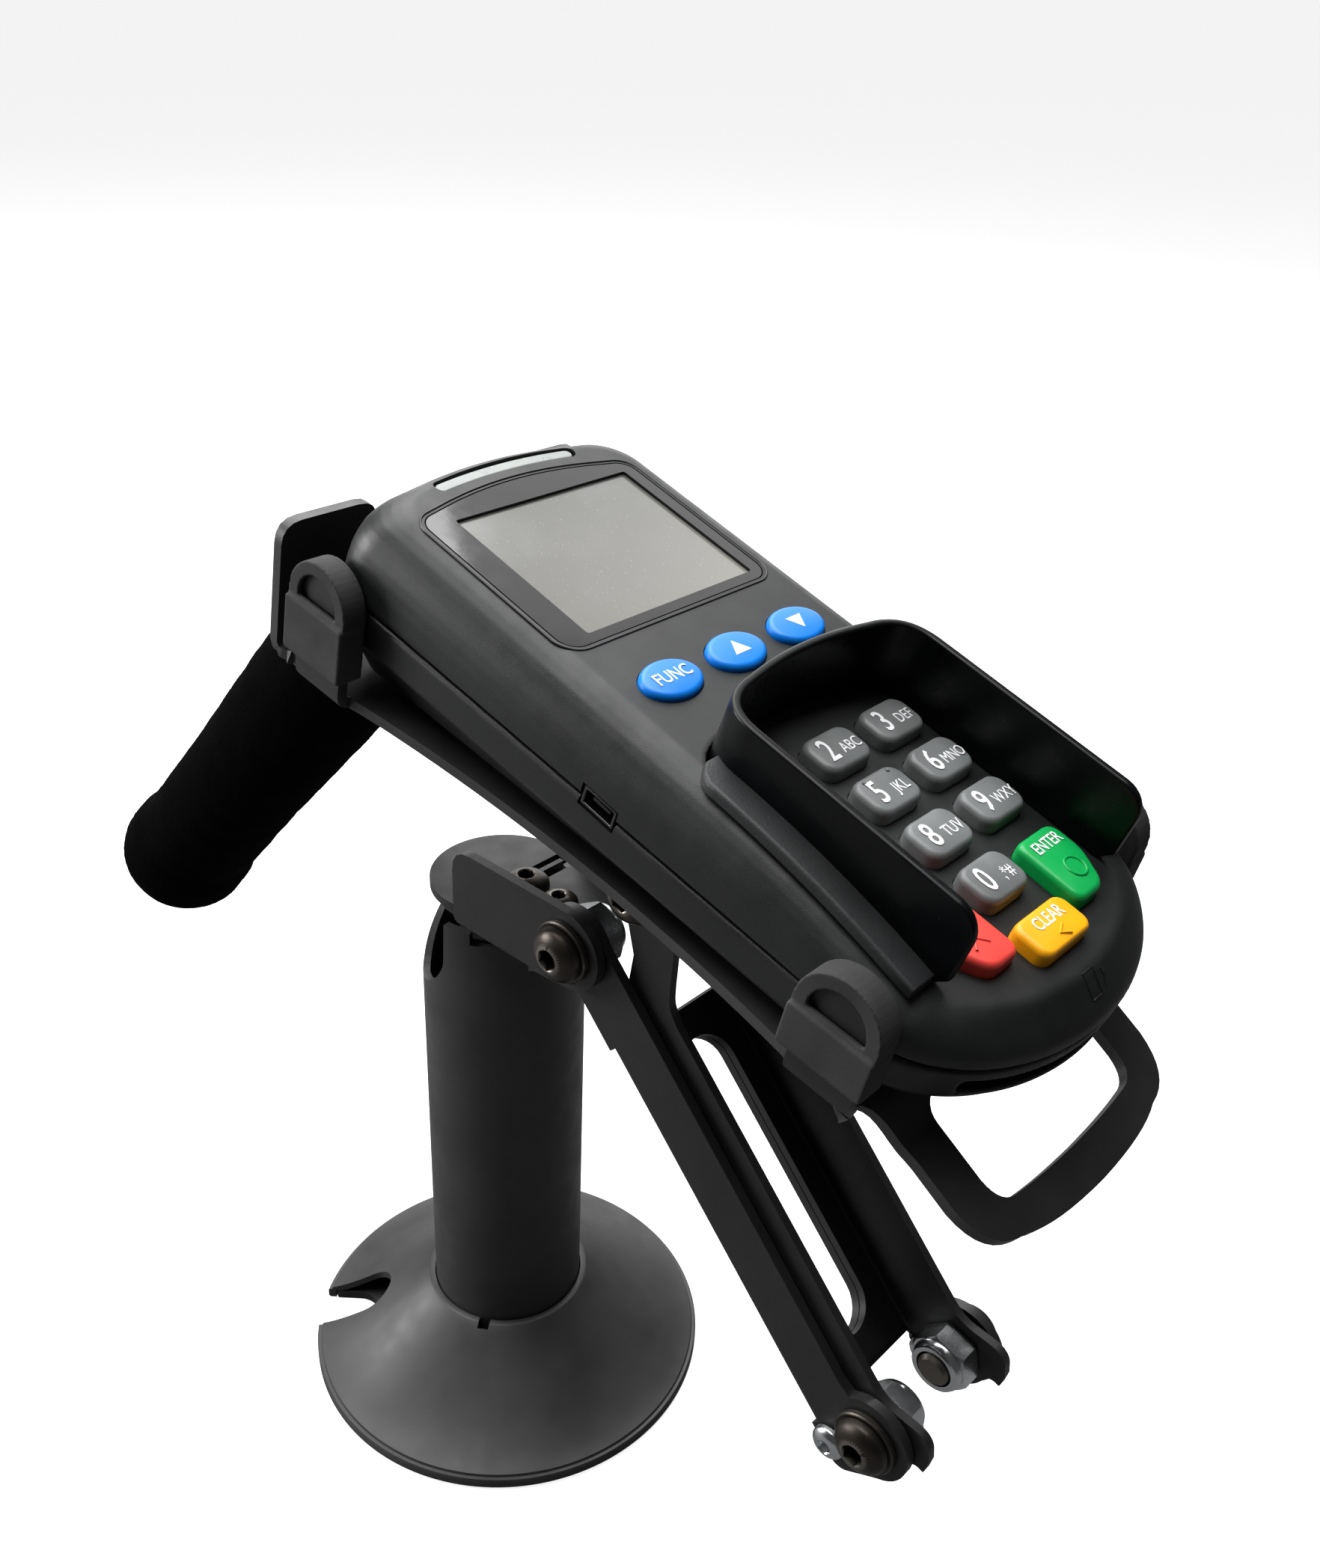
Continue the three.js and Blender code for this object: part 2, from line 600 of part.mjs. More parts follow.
// ---------- terminal, in the terminal frame: origin on the top of the centre key ----------
function caseRing(insetSide, insetEnd, heightAt) {
  const half = body.half - insetSide;
  const corner = body.cornerFar;
  const far = body.farV - insetEnd;
  const points = [
    ...arcPoints(0, body.nearV, half, body.nearDepth - insetEnd, 180, 360, 18),
    ...arcPoints(half - corner, far - corner, corner, corner, 0, 72, 5),
    ...[0.6, 0.2, -0.2, -0.6].map((k) => [k * (half - corner), far + body.bulge * (1 - k * k)]),
    ...arcPoints(-half + corner, far - corner, corner, corner, 108, 180, 5),
  ];
  return points.map(([u, v]) => [u, v, heightAt(v)]);
}

const seamAt = (v) => seam.level + seam.slope * v;
const floorAt = (v) => floorLine.level + floorLine.slope * v;
const droopAt = (v) => -droop.rate * Math.max(droop.from - v, 0) ** 2;

function upperCase() {
  const shellRings = [
    caseRing(0.6, 0.6, (v) => seamAt(v) + GAP / 2),
    caseRing(0.6, 0.6, (v) => seamAt(v) + 0.7),
    caseRing(0, 0, (v) => seamAt(v) + 0.9),
    caseRing(0.4, 0.4, (v) => -7 + droopAt(v) * 0.35),
    caseRing(1.3, 1.1, (v) => -3.4 + droopAt(v) * 0.7),
    caseRing(3.0, 2.2, (v) => -0.6 + droopAt(v) * 0.9),
    caseRing(5.2, 3.4, (v) => 0.9 + droopAt(v)),
    caseRing(7.6, 4.8, (v) => 1.5 + droopAt(v)),
  ];
  const hollow = stack([
    caseRing(body.wall + 0.6, body.wall + 0.6, (v) => seamAt(v) - 2),
    caseRing(body.wall + 0.6, body.wall + 0.6, (v) => roof.level - 3 + roof.slope * v),
    caseRing(body.wall + 3.5, body.wall + 3, (v) => roof.level + roof.slope * v),
  ]);
  const keyHoles = keyTable().map(({ outline }) => prismZ(shapeOf(outline(key.clearance)), -14, 8, 6));
  const display = [
    prismZ(lensPlan(GAP), lens.top - lens.thickness - GAP, 6),
    block(-lcd.half - GAP, lcd.half + GAP, lcd.near - GAP, lcd.far + GAP, -8, 2),
  ];
  return cut(
    stack(shellRings), hollow, deckCut(), ...keyHoles, ...display,
    prismZ(barPlan(GAP), lightStrip.floor, 6), usbHole());
}

// Everything above the key deck, inside its rounded outline.
function deckCut() {
  const plan = new THREE.Shape();
  const { half, far } = deck;
  plan.moveTo(-half, -70);
  plan.lineTo(half, -70);
  plan.lineTo(half, far - 12);
  plan.quadraticCurveTo(half, far - 2.5, half - 11, far);
  plan.quadraticCurveTo(0, far + 4, -half + 11, far);
  plan.quadraticCurveTo(-half, far - 2.5, -half, far - 12);
  const side = [[40, 20], [-70, 20], [-70, deckAt(-70)], [40, deckAt(40)]];
  return prismZ(plan, -20, 20, 8).intersect(prismX(shapeOf(side), -40, 40));
}

function deckAt(v) {
  return deck.level + deck.slope * v;
}

function lensPlan(grow) {
  const half = lens.half + grow;
  const near = lens.near - grow;
  const far = lens.far + grow;
  const corner = lens.corner + grow;
  const bow = [0.6, 0.2, -0.2, -0.6].map((k) => [k * (half - corner), far + lens.bulge * (1 - k * k)]);
  return shapeOf([
    ...arcPoints(half - corner, near + corner, corner, corner, -90, 0, 4),
    ...arcPoints(half - corner, far - corner, corner, corner, 0, 80, 4),
    ...bow,
    ...arcPoints(-half + corner, far - corner, corner, corner, 100, 180, 4),
    ...arcPoints(-half + corner, near + corner, corner, corner, 180, 270, 4),
  ]);
}

function barPlan(grow) {
  const { radius, middle } = lightStrip;
  const half = lightStrip.half + grow;
  const sweep = lightStrip.sweep + grow * 0.5;
  const centre = middle - radius;
  return shapeOf([
    ...arcPoints(0, centre, radius + half, radius + half, 90 - sweep, 90 + sweep, 10),
    ...arcPoints(0, centre, radius - half, radius - half, 90 + sweep + 1, 90 - sweep - 1, 10),
  ]);
}

function lightBar() {
  return prismZ(barPlan(0), lightStrip.low, lightStrip.high);
}

function lowerCase() {
  const bellyAt = (v) => floorAt(v) + Math.max(0.8, 1.2 + 0.062 * (v + 40));
  const shellRings = [
    caseRing(10, 9, floorAt),
    caseRing(1.6, 1.6, bellyAt),
    caseRing(0.6, 0.6, (v) => bellyAt(v) + 1.6),
    caseRing(0, 0, (v) => seamAt(v) - 0.9),
    caseRing(0.6, 0.6, (v) => seamAt(v) - 0.7),
    caseRing(0.6, 0.6, (v) => seamAt(v) - GAP / 2),
  ];
  const hollowSide = (v) => Math.min(bellyAt(v) + body.wall + 0.8, seamAt(v) - 1.5);
  const hollow = stack([
    caseRing(12, 11, (v) => floorAt(v) + body.wall),
    caseRing(body.wall + 1.4, body.wall + 1.4, hollowSide),
    caseRing(body.wall + 0.6, body.wall + 0.6, (v) => seamAt(v) + 2),
  ]);
  const { half, near, far, low, high } = cardMouth;
  return cut(stack(shellRings), hollow, block(-half, half, near, far, low, high), usbHole());
}

function usbHole() {
  const { near, far, low, high, inner, room } = usb;
  return block(-FAR - 12, -inner + room, near - room, far + room, low - room, high + room);
}

function usbPort() {
  const { near, far, low, high, outer, inner, wall } = usb;
  const shellBody = block(-outer, -inner, near, far, low, high);
  const mouthCut = block(-outer - 1, -inner - 1.5, near + wall, far - wall, low + wall, high - wall);
  const tongue = block(-outer + 1.5, -inner - 0.5, near + 1.8, far - 1.8, -15.1, -14.3);
  return join(cut(shellBody, mouthCut), tongue);
}

function cardReader() {
  const housing = block(-30.5, 30.5, -13, 32, -20.6, -12);
  return cut(housing, block(-28, 28, -20, 24, -17.6, -16));
}

function mainBoard() {
  const outline = shapeOf(roundedBox(33, -30, 104, 6, 3));
  return prismZ(outline, -11.4, -10);
}

function keyMat() {
  return prismZ(shapeOf(roundedBox(29, -44, 47, 16, 4)), -9.3, -8.1);
}

function displayLens() {
  return prismZ(lensPlan(0), lens.top - lens.thickness, lens.top);
}

function lcdPanel() {
  return block(-lcd.half, lcd.half, lcd.near, lcd.far, lcd.top - lcd.thickness, lcd.top);
}

function shieldSolid() {
  const { half, wall, far, near, rim, strip, corner } = shield;
  const arch = (h, f) => {
    const plan = new THREE.Shape();
    plan.moveTo(-h, -80);
    plan.lineTo(h, -80);
    plan.lineTo(h, f - 12);
    plan.quadraticCurveTo(h, f - 2.5, h - 11, f - 1.2);
    plan.quadraticCurveTo(0, f + 2.4, -h + 11, f - 1.2);
    plan.quadraticCurveTo(-h, f - 2.5, -h, f - 12);
    return plan;
  };
  const outside = prismZ(arch(half, far), -12, rim);
  const inside = prismZ(arch(half - wall, far - wall), -13, rim + 1);
  const side = shapeOf([
    [40, deckAt(40) + GAP],
    [40, rim],
    ...arcPoints(near + corner, rim - corner, corner, corner, 90, 180, 6),
    [near, deckAt(near) + 3],
    [near + 2.5, deckAt(near) + GAP],
  ]);
  const { low, high, stations } = ledge;
  const strips = shapeOf([
    ...stations.map((v) => [v, low + droopAt(v)]),
    ...stations.map((v) => [v, high + droopAt(v)]).reverse(),
  ].reverse());
  const foot = prismX(strips, half - wall + 0.4, strip);
  return join(cut(outside, inside).intersect(prismX(side, -40, 40)), foot, mirrored(foot));
}

function scaledOutline(points, centre) {
  return (grow) => points.map(([u, v]) => {
    const du = u - centre[0];
    const dv = v - centre[1];
    const reach = Math.hypot(du, dv);
    return [u + du / reach * grow, v + dv / reach * grow];
  });
}

function roundKey(u, v) {
  const plan = roundedBox(key.width / 2, -key.height / 2, key.height / 2, 3, 3);
  return scaledOutline(plan.map(([a, b]) => [u + a, v + b]), [u, v]);
}

function sideKey(sign) {
  const corners = [[10.3, -22.1], [22.6, -22.1], [22.8, -30], [18.4, -37.6], [10, -37.6]];
  const path = new THREE.Path();
  const count = corners.length;
  const round = 2.6;
  corners.forEach((point, i) => {
    const here = new THREE.Vector2(...point);
    const before = new THREE.Vector2(...corners[(i + count - 1) % count]);
    const after = new THREE.Vector2(...corners[(i + 1) % count]);
    const enter = here.clone().add(before.sub(here).setLength(round));
    const leave = here.clone().add(after.sub(here).setLength(round));
    if (i === 0) path.moveTo(enter.x, enter.y);
    else path.lineTo(enter.x, enter.y);
    path.quadraticCurveTo(here.x, here.y, leave.x, leave.y);
  });
  const points = path.getPoints(3).map(({ x, y }) => [sign * x, y]);
  const loopPoints = sign > 0 ? points.reverse() : points;
  return scaledOutline(loopPoints, [sign * 16.4, -29.6]);
}

function ovalKey(column) {
  const { v, halfU, halfV, pitch } = oval;
  return (grow) => arcPoints(column * pitch, v, halfU + grow, halfV + grow, 0, 345, 23);
}

function keyTable() {
  const keys = [];
  for (let row = 0; row < 3; row += 1) {
    for (let column = 0; column < 3; column += 1) {
      const outline = roundKey((column - 1) * key.pitchU, (1 - row) * key.pitchV);
      keys.push({ name: `key_${row * 3 + column + 1}`, outline, top: 0, colour: colours.greyKey });
    }
  }
  keys.push({ name: 'key_0', outline: roundKey(0, -2 * key.pitchV), top: 0, colour: colours.greyKey });
  keys.push({ name: 'key_clear', outline: yellowKey(), top: -0.2, colour: colours.yellow });
  keys.push({ name: 'key_cancel', outline: sideKey(-1), top: -0.2, colour: colours.red });
  keys.push({ name: 'key_enter', outline: sideKey(1), top: -0.2, colour: colours.green });
  ['key_func', 'key_up', 'key_down'].forEach((name, i) => {
    keys.push({ name, outline: ovalKey(i - 1), top: oval.top, colour: colours.blue });
  });
  return keys;
}

function yellowKey() {
  const points = roundedBox(7.8, -41.8, -33.4, 2.4, 3);
  return scaledOutline(points, [0, -37.6]);
}

function keySolid({ outline, top }) {
  const ring = (grow, w) => outline(grow).map(([u, v]) => [u, v, w]);
  return stack([ring(0, key.bottom), ring(0, top - 1.2), ring(-0.35, top - 0.4), ring(-1.1, top)]);
}

// ---------- assembly ----------
function buildTerminal() {
  const group = frame('terminal', terminal.y, terminal.z, terminal.angle);
  group.add(part('upper_case', upperCase(), colours.plastic, 0.55));
  group.add(part('lower_case', lowerCase(), colours.plastic, 0.55));
  group.add(part('display_lens', displayLens(), colours.lens, 0.12));
  group.add(part('lcd_panel', lcdPanel(), colours.lcd, 0.3));
  group.add(part('light_bar', lightBar(), colours.bar, 0.35));
  group.add(part('privacy_shield', shieldSolid(), colours.shell, 0.3));
  group.add(part('key_mat', keyMat(), colours.silicone, 0.8));
  group.add(part('main_board', mainBoard(), colours.board, 0.5));
  group.add(part('card_reader', cardReader(), colours.shell, 0.5));
  group.add(part('usb_port', usbPort(), colours.zinc, 0.35, 1));
  keyTable().forEach((entry) => group.add(part(entry.name, keySolid(entry), entry.colour, 0.45)));
  return group;
}

function buildTray() {
  const group = frame('tray_frame', tilt.y, tilt.z, tray.angle - arm.angle);
  group.add(part('tray', traySolid(), colours.powder, 0.6, 0.2));
  group.add(part('tray_bracket', trayBracket(), colours.powder, 0.6, 0.2));
  Object.entries(clips).forEach(([end, place]) => {
    const right = clipSleeve(place);
    group.add(part(`sleeve_${end}_right`, right, colours.rubber, 0.85));
    group.add(part(`sleeve_${end}_left`, mirrored(right), colours.rubber, 0.85));
  });
  group.add(part('grip_rod', gripRod(), colours.blackSteel, 0.4, 0.8));
  group.add(part('grip_nut', gripNut(), colours.zinc, 0.3, 1));
  group.add(part('foam_grip', foamGrip(), colours.foam, 0.95));
  group.add(buildTerminal());
  return group;
}

function addPair(group, name, solid, colour, roughness, metalness) {
  group.add(part(`${name}_right`, solid, colour, roughness, metalness));
  group.add(part(`${name}_left`, mirrored(solid), colour, roughness, metalness));
}

function buildArms() {
  const group = frame('arm_frame', shoulder.y, shoulder.z, arm.angle);
  group.add(part('lower_arm', lowerArm(), colours.powder, 0.55, 0.2));
  group.add(part('upper_arm', upperArm(), colours.powder, 0.55, 0.2));
  const elbow = { y: arm.elbowY, z: arm.elbowZ };
  addPair(group, 'elbow_bolt', pivotBolt(elbow, lower.outer, arm.boltTip), colours.blackSteel, 0.35, 0.9);
  addPair(group, 'elbow_nut', hexNut(elbow, arm.nut), colours.zinc, 0.3, 1);
  addPair(group, 'stop_screw', stopScrewSolid(), colours.zinc, 0.3, 1);
  addPair(group, 'tilt_bolt', pivotBolt(tilt, saddle.half, arm.boltTip), colours.blackSteel, 0.35, 0.9);
  addPair(group, 'tilt_nut', hexNut(tilt, arm.nut), colours.zinc, 0.3, 1);
  group.add(buildTray());
  return group;
}

function buildStand() {
  const group = new THREE.Group();
  group.name = 'card_terminal';
  group.add(part('base_plate', basePlate(), colours.plate, 0.6, 0.3));
  group.add(part('base_cover', baseCover(), colours.plate, 0.6, 0.1));
  group.add(part('pole_tube', poleTube(), colours.powder, 0.5, 0.3));
  group.add(part('pole_bush', poleBush(), colours.shell, 0.6));
  group.add(part('retaining_ring', retainingRing(), colours.zinc, 0.4, 1));
  group.add(part('swivel_cap', swivelCap(), colours.powder, 0.55, 0.2));
  group.add(part('swivel_bracket', swivelBracket(), colours.powder, 0.55, 0.2));
  group.add(part('swivel_screw', swivelScrew(swivelScrews.main), colours.blackSteel, 0.35, 0.9));
  group.add(part('swivel_lock_screw', swivelScrew(swivelScrews.lock), colours.blackSteel, 0.35, 0.9));
  const shoulderBolt = pivotBolt(shoulder, bracket.half, shoulder.boltTip);
  addPair(group, 'shoulder_bolt', shoulderBolt, colours.blackSteel, 0.35, 0.9);
  addPair(group, 'shoulder_nut', hexNut(shoulder, shoulder.nut), colours.zinc, 0.3, 1);
  group.add(buildArms());
  return group;
}

export default buildStand();
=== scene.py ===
# Looks of the card payment terminal: smooth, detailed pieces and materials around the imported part.
# Outlines and constants are in millimetres, in the same local frames as the part; meshes are in metres.
import json
import math

import bmesh
import bpy
from mathutils import Matrix, Vector, geometry, noise
from mathutils.bvhtree import BVHTree


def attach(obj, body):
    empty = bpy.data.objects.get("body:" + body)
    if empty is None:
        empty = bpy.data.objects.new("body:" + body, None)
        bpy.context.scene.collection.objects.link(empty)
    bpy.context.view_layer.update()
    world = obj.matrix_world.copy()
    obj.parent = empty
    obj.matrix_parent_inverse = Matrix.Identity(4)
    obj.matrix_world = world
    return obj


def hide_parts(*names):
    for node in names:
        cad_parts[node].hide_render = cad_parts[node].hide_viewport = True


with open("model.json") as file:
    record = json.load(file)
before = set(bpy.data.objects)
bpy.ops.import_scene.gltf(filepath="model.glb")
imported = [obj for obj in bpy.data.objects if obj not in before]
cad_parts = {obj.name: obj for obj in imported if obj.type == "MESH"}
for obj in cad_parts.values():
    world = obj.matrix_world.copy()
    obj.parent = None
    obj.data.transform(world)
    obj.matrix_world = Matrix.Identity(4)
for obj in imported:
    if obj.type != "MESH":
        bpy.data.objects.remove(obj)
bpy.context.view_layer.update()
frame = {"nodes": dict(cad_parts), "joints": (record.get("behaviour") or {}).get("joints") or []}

MM = 0.001
JOINTS = {joint["name"]: joint for joint in frame["joints"]}
SIDES = {"right": 1, "left": -1}

# ---------- local frames, each turned about X ----------
ARM_ANGLE = 46.3
TRAY_ANGLE = 11.7
TERMINAL_ANGLE = 6.45


def turned(point, degrees):
    return Matrix.Translation(point) @ Matrix.Rotation(math.radians(degrees), 4, "X")


STAND = Matrix.Identity(4)
ARM = turned(JOINTS["shoulder"]["pos_m"], ARM_ANGLE)
TRAY = turned(JOINTS["tray_tilt"]["pos_m"], TRAY_ANGLE)
TERMINAL = TRAY @ turned((0, -35.2 * MM, 42.1 * MM), TERMINAL_ANGLE)

# ---------- driving dimensions, as in the part ----------
# How far cutters reach past the part.
FAR = 70
POLE = {"radius": 20, "wall": 1.8, "bottom": 2.9, "top": 149.5,
        "notch_angle": 216, "notch_half": 4, "notch": 3.2}
# The pole's cable window as (angle in degrees, height), from its right edge round to its left.
POLE_WINDOW = [(74, 149.5), (78.4, 144.6), (104, 136.5), (131, 128), (139.6, 127.2), (157.7, 128.2),
               (171.5, 131.5), (182, 137), (183.6, 149.5)]
BASE = {"radius": 53.8, "rim": 3.8, "collar": 21.9, "height": 24.3, "shell": 2.2, "plate": 2.6}
NOTCH = {"angle": 131, "inner": 40, "half": 6.5}
CAP = {"radius": 16, "low": 149.8, "thickness": 2.2, "spigot": 7}
BRACKET = {"half": 21.2, "sheet": 2.2, "floor": 152.3, "back": -6.5, "front": -31, "round": 17.5, "end": 9.6}
SHOULDER = (-42.5, 164)
ELBOW = (-117.5, 7.6)
TILT = (3.8, 27.9)
STOP = (-117.3, -3.9)
LOWER = {"outer": 18.5, "sheet": 2.3, "web": -7, "open": 8.3, "elbow": 9.7, "shoulder": 9}
UPPER = {"outer": 15.6, "sheet": 2.0, "web": -4.4, "open": 13.8, "elbow": 8.7, "ear": 8.5}
WEB = (-112.8, -24)
SLOT = {"near": -104, "far": -31, "half": 7.5}
PLATE = {"sheet": 2.4, "top": 14.9, "waist": 36, "end": 40, "front": -66.9, "back": 90.4, "wing": 29}
CLIP = {"front": -60.9, "rear": 72.6, "half": 7, "inside": 41.0}
TAB_TOP = {"front": 37.4, "rear": 40.8}
SLEEVE = {"low": 20.4, "cover": 2.6, "inside": 39.1, "outside": 44.7, "half": 8.75}
LOOP = {"half": 33, "inner": 24, "near": -100.2, "inner_near": -92.8, "inner_far": -72}
GRIP = {"y": 95, "z": 17, "angle": 58.8, "start": 4, "length": 181, "radius": 17.8, "end": 19.3, "bore": 5.3}
CASE = {"half": 38.6, "corner": 10, "far": 113, "bulge": 2.6, "near": -29, "depth": 24.5}
DECK = {"level": -3.45, "slope": 0.006, "half": 30.6, "far": 26}
LENS = {"middle": -1, "half": 28.6, "near": 54.8, "far": 98.8, "bulge": 3.4, "corner": 4, "top": 1.4}
SCREEN = {"left": -22.8, "right": 24.6, "near": 57.2, "far": 95.6}
SHIELD = {"half": 28.3, "wall": 1.9, "far": 27, "near": -34.5, "rim": 13.4, "strip": 34, "corner": 5.5}
BAR = {"radius": 120, "middle": 107.4, "half": 1.35, "sweep": 8.3}
KEYS = {"pitch_u": 17.3, "pitch_v": 12.3, "half_u": 6.7, "half_v": 4.6, "bottom": -6.4}


# ---------- outlines ----------
def arc(x, y, radius, start, end, steps, radius_y=None):
    radius_y = radius if radius_y is None else radius_y
    angles = [math.radians(start + (end - start) * i / steps) for i in range(steps + 1)]
    return [(x + radius * math.cos(a), y + radius_y * math.sin(a)) for a in angles]


def rounded_box(half, near, far, radius, steps=6):
    return (arc(half - radius, near + radius, radius, -90, 0, steps)
            + arc(half - radius, far - radius, radius, 0, 90, steps)
            + arc(-half + radius, far - radius, radius, 90, 180, steps)
            + arc(-half + radius, near + radius, radius, 180, 270, steps))


def round_corners(points, radius, steps=4, least=20, closed=True):
    """Swaps each corner sharper than `least` degrees for a short curve."""
    result = []
    count = len(points)
    for i, point in enumerate(points):
        here = Vector(point)
        if not closed and i in (0, count - 1):
            result.append(tuple(here))
            continue
        before = Vector(points[i - 1]) - here
        after = Vector(points[(i + 1) % count]) - here
        if min(before.length, after.length) < 1e-6:
            continue
        turn = 180 - math.degrees(before.angle(after))
        if turn < least:
            result.append(tuple(here))
            continue
        reach = min(radius, before.length * 0.48, after.length * 0.48)
        enter = here + before.normalized() * reach
        leave = here + after.normalized() * reach
        for k in range(steps + 1):
            t = k / steps
            result.append(tuple(enter * (1 - t) ** 2 + here * 2 * t * (1 - t) + leave * t * t))
    return result


def inside(point, loops):
    """Whether a point lies on the material: within an odd number of loops."""
    odd = False
    for loop in loops:
        for (x0, y0), (x1, y1) in zip(loop, [*loop[1:], loop[0]]):
            if (y0 > point[1]) != (y1 > point[1]) and point[0] < x0 + (point[1] - y0) * (x1 - x0) / (y1 - y0):
                odd = not odd
    return odd


def smoothstep(value, low, high):
    t = max(0.0, min(1.0, (value - low) / (high - low)))
    return t * t * (3 - 2 * t)


# ---------- meshes ----------
def linked(name, data, place=None):
    """A new object in the scene for a mesh, curve, lamp or camera."""
    made = bpy.data.objects.new(name, data)
    bpy.context.scene.collection.objects.link(made)
    if place is not None:
        made.matrix_world = place
    return made


def evaluated_mesh(item):
    bpy.context.view_layer.update()
    return bpy.data.meshes.new_from_object(item.evaluated_get(bpy.context.evaluated_depsgraph_get()))


def new_object(name, vertices, faces, place):
    mesh = bpy.data.meshes.new(name)
    mesh.from_pydata([Vector(v) * MM for v in vertices], [], faces)
    mesh.update()
    return linked(name, mesh, place)


def loft(name, rings, place):
    """Rings of equal point count, from the bottom up, closed by a flat face at each end."""
    count = len(rings[0])
    vertices = [point for ring in rings for point in ring]
    faces = []
    for level in range(len(rings) - 1):
        for i in range(count):
            a = level * count + i
            b = level * count + (i + 1) % count
            faces.append((a, b, b + count, a + count))
    last = (len(rings) - 1) * count
    faces.append(tuple(range(count - 1, -1, -1)))
    faces.append(tuple(range(last, last + count)))
    return new_object(name, vertices, faces, place)


def prism(name, outline, low, high, place):
    return loft(name, [[(x, y, low) for x, y in outline], [(x, y, high) for x, y in outline]], place)


def circle(radius, z, segments):
    angles = [2 * math.pi * i / segments for i in range(segments)]
    return [(radius * math.cos(a), radius * math.sin(a), z) for a in angles]


def revolve(name, profile, place, segments=96):
    """A closed profile of (radius, z) turned about Z, from the bottom up along its outside."""
    rings = [circle(max(radius, 0.001), z, segments) for radius, z in profile]
    if abs(profile[0][0]) < 0.01 and abs(profile[-1][0]) < 0.01:
        return loft(name, rings, place)
    vertices = [point for ring in rings for point in ring]
    faces = []
    for level in range(len(rings)):
        following = (level + 1) % len(rings)
        for i in range(segments):
            j = (i + 1) % segments
            faces.append((level * segments + i, level * segments + j,
                          following * segments + j, following * segments + i))
    return new_object(name, vertices, faces, place)


def box(name, low, high, place):
    (x0, y0, z0), (x1, y1, z1) = low, high
    return prism(name, [(x0, y0), (x1, y0), (x1, y1), (x0, y1)], z0, z1, place)


def apply_modifiers(item):
    mesh = evaluated_mesh(item)
    item.modifiers.clear()
    item.data = mesh
    return item


def combine(item, tools, operation="DIFFERENCE"):
    for tool in tools:
        change = item.modifiers.new("combine", "BOOLEAN")
        change.operation = operation
        change.solver = "MANIFOLD"
        change.object = tool
    apply_modifiers(item)
    for tool in tools:
        bpy.data.objects.remove(tool)
    return item


def smooth(item):
    item.data.polygons.foreach_set("use_smooth", [True] * len(item.data.polygons))
    return item


def shade(item, degrees=35):
    smooth(item)
    item.data.set_sharp_from_angle(angle=math.radians(degrees))
    return item


def bevel(item, width, segments=2, degrees=32):
    edge = item.modifiers.new("bevel", "BEVEL")
    edge.width = width * MM
    edge.segments = segments
    edge.limit_method = "ANGLE"
    edge.angle_limit = math.radians(degrees)
    edge.miter_outer = "MITER_ARC"
    apply_modifiers(item)
    shade(item, 50)
    even = item.modifiers.new("even", "WEIGHTED_NORMAL")
    even.keep_sharp = True
    return item


def soften(item, voxel, rounds, keep):
    """Remeshes to an even grid, which rounds every edge, then thins the mesh."""
    grid = item.modifiers.new("grid", "REMESH")
    grid.mode = "VOXEL"
    grid.voxel_size = voxel * MM
    relax = item.modifiers.new("relax", "SMOOTH")
    relax.factor = 0.5
    relax.iterations = rounds
    thin = item.modifiers.new("thin", "DECIMATE")
    thin.ratio = keep
    return smooth(apply_modifiers(item))


def folded(name, loops, cuts_x, cuts_y, fold, thickness, place, facing=None, edge=0.4):
    """A flat blank with holes, cut along its bend lines, folded by fold(x, y) and given its thickness."""
    points, edges = [], []
    for loop in loops:
        first = len(points)
        points += [Vector(p) for p in loop]
        edges += [(first + i, first + (i + 1) % len(loop)) for i in range(len(loop))]
    flat = geometry.delaunay_2d_cdt(points, edges, [], 1, 1e-5)
    mesh = bmesh.new()
    made = [mesh.verts.new((p.x, p.y, 0)) for p in flat[0]]
    for face in flat[2]:
        middle = sum((flat[0][i] for i in face), Vector((0, 0))) / len(face)
        if inside(middle, loops):
            mesh.faces.new([made[i] for i in face])
    loose = [vertex for vertex in mesh.verts if not vertex.link_faces]
    bmesh.ops.delete(mesh, geom=loose, context="VERTS")
    for axis, cuts in ((0, cuts_x), (1, cuts_y)):
        for cut in cuts:
            point = (cut, 0, 0) if axis == 0 else (0, cut, 0)
            normal = (1, 0, 0) if axis == 0 else (0, 1, 0)
            bmesh.ops.bisect_plane(mesh, geom=mesh.verts[:] + mesh.edges[:] + mesh.faces[:],
                                   plane_co=point, plane_no=normal)
    for vertex in mesh.verts:
        vertex.co = Vector(fold(vertex.co.x, vertex.co.y)) * MM
    bmesh.ops.remove_doubles(mesh, verts=mesh.verts[:], dist=0.01 * MM)
    bmesh.ops.dissolve_limit(mesh, angle_limit=math.radians(0.6), verts=mesh.verts[:], edges=mesh.edges[:])
    mesh.normal_update()
    if facing is not None:
        total = sum((face.normal * face.calc_area() for face in mesh.faces), Vector())
        if total.dot(Vector(facing)) < 0:
            bmesh.ops.reverse_faces(mesh, faces=mesh.faces[:])
    item = new_object(name, [], [], place)
    mesh.to_mesh(item.data)
    mesh.free()
    wall = item.modifiers.new("wall", "SOLIDIFY")
    wall.thickness = thickness * MM
    wall.offset = -1
    wall.use_even_offset = True
    wall.material_offset_rim = 1
    item.data.materials.append(None)
    item.data.materials.append(None)
    apply_modifiers(item)
    return bevel(item, edge)


def curve_mesh(curve):
    holder = linked(curve.name, curve)
    mesh = evaluated_mesh(holder)
    bpy.data.objects.remove(holder)
    return mesh


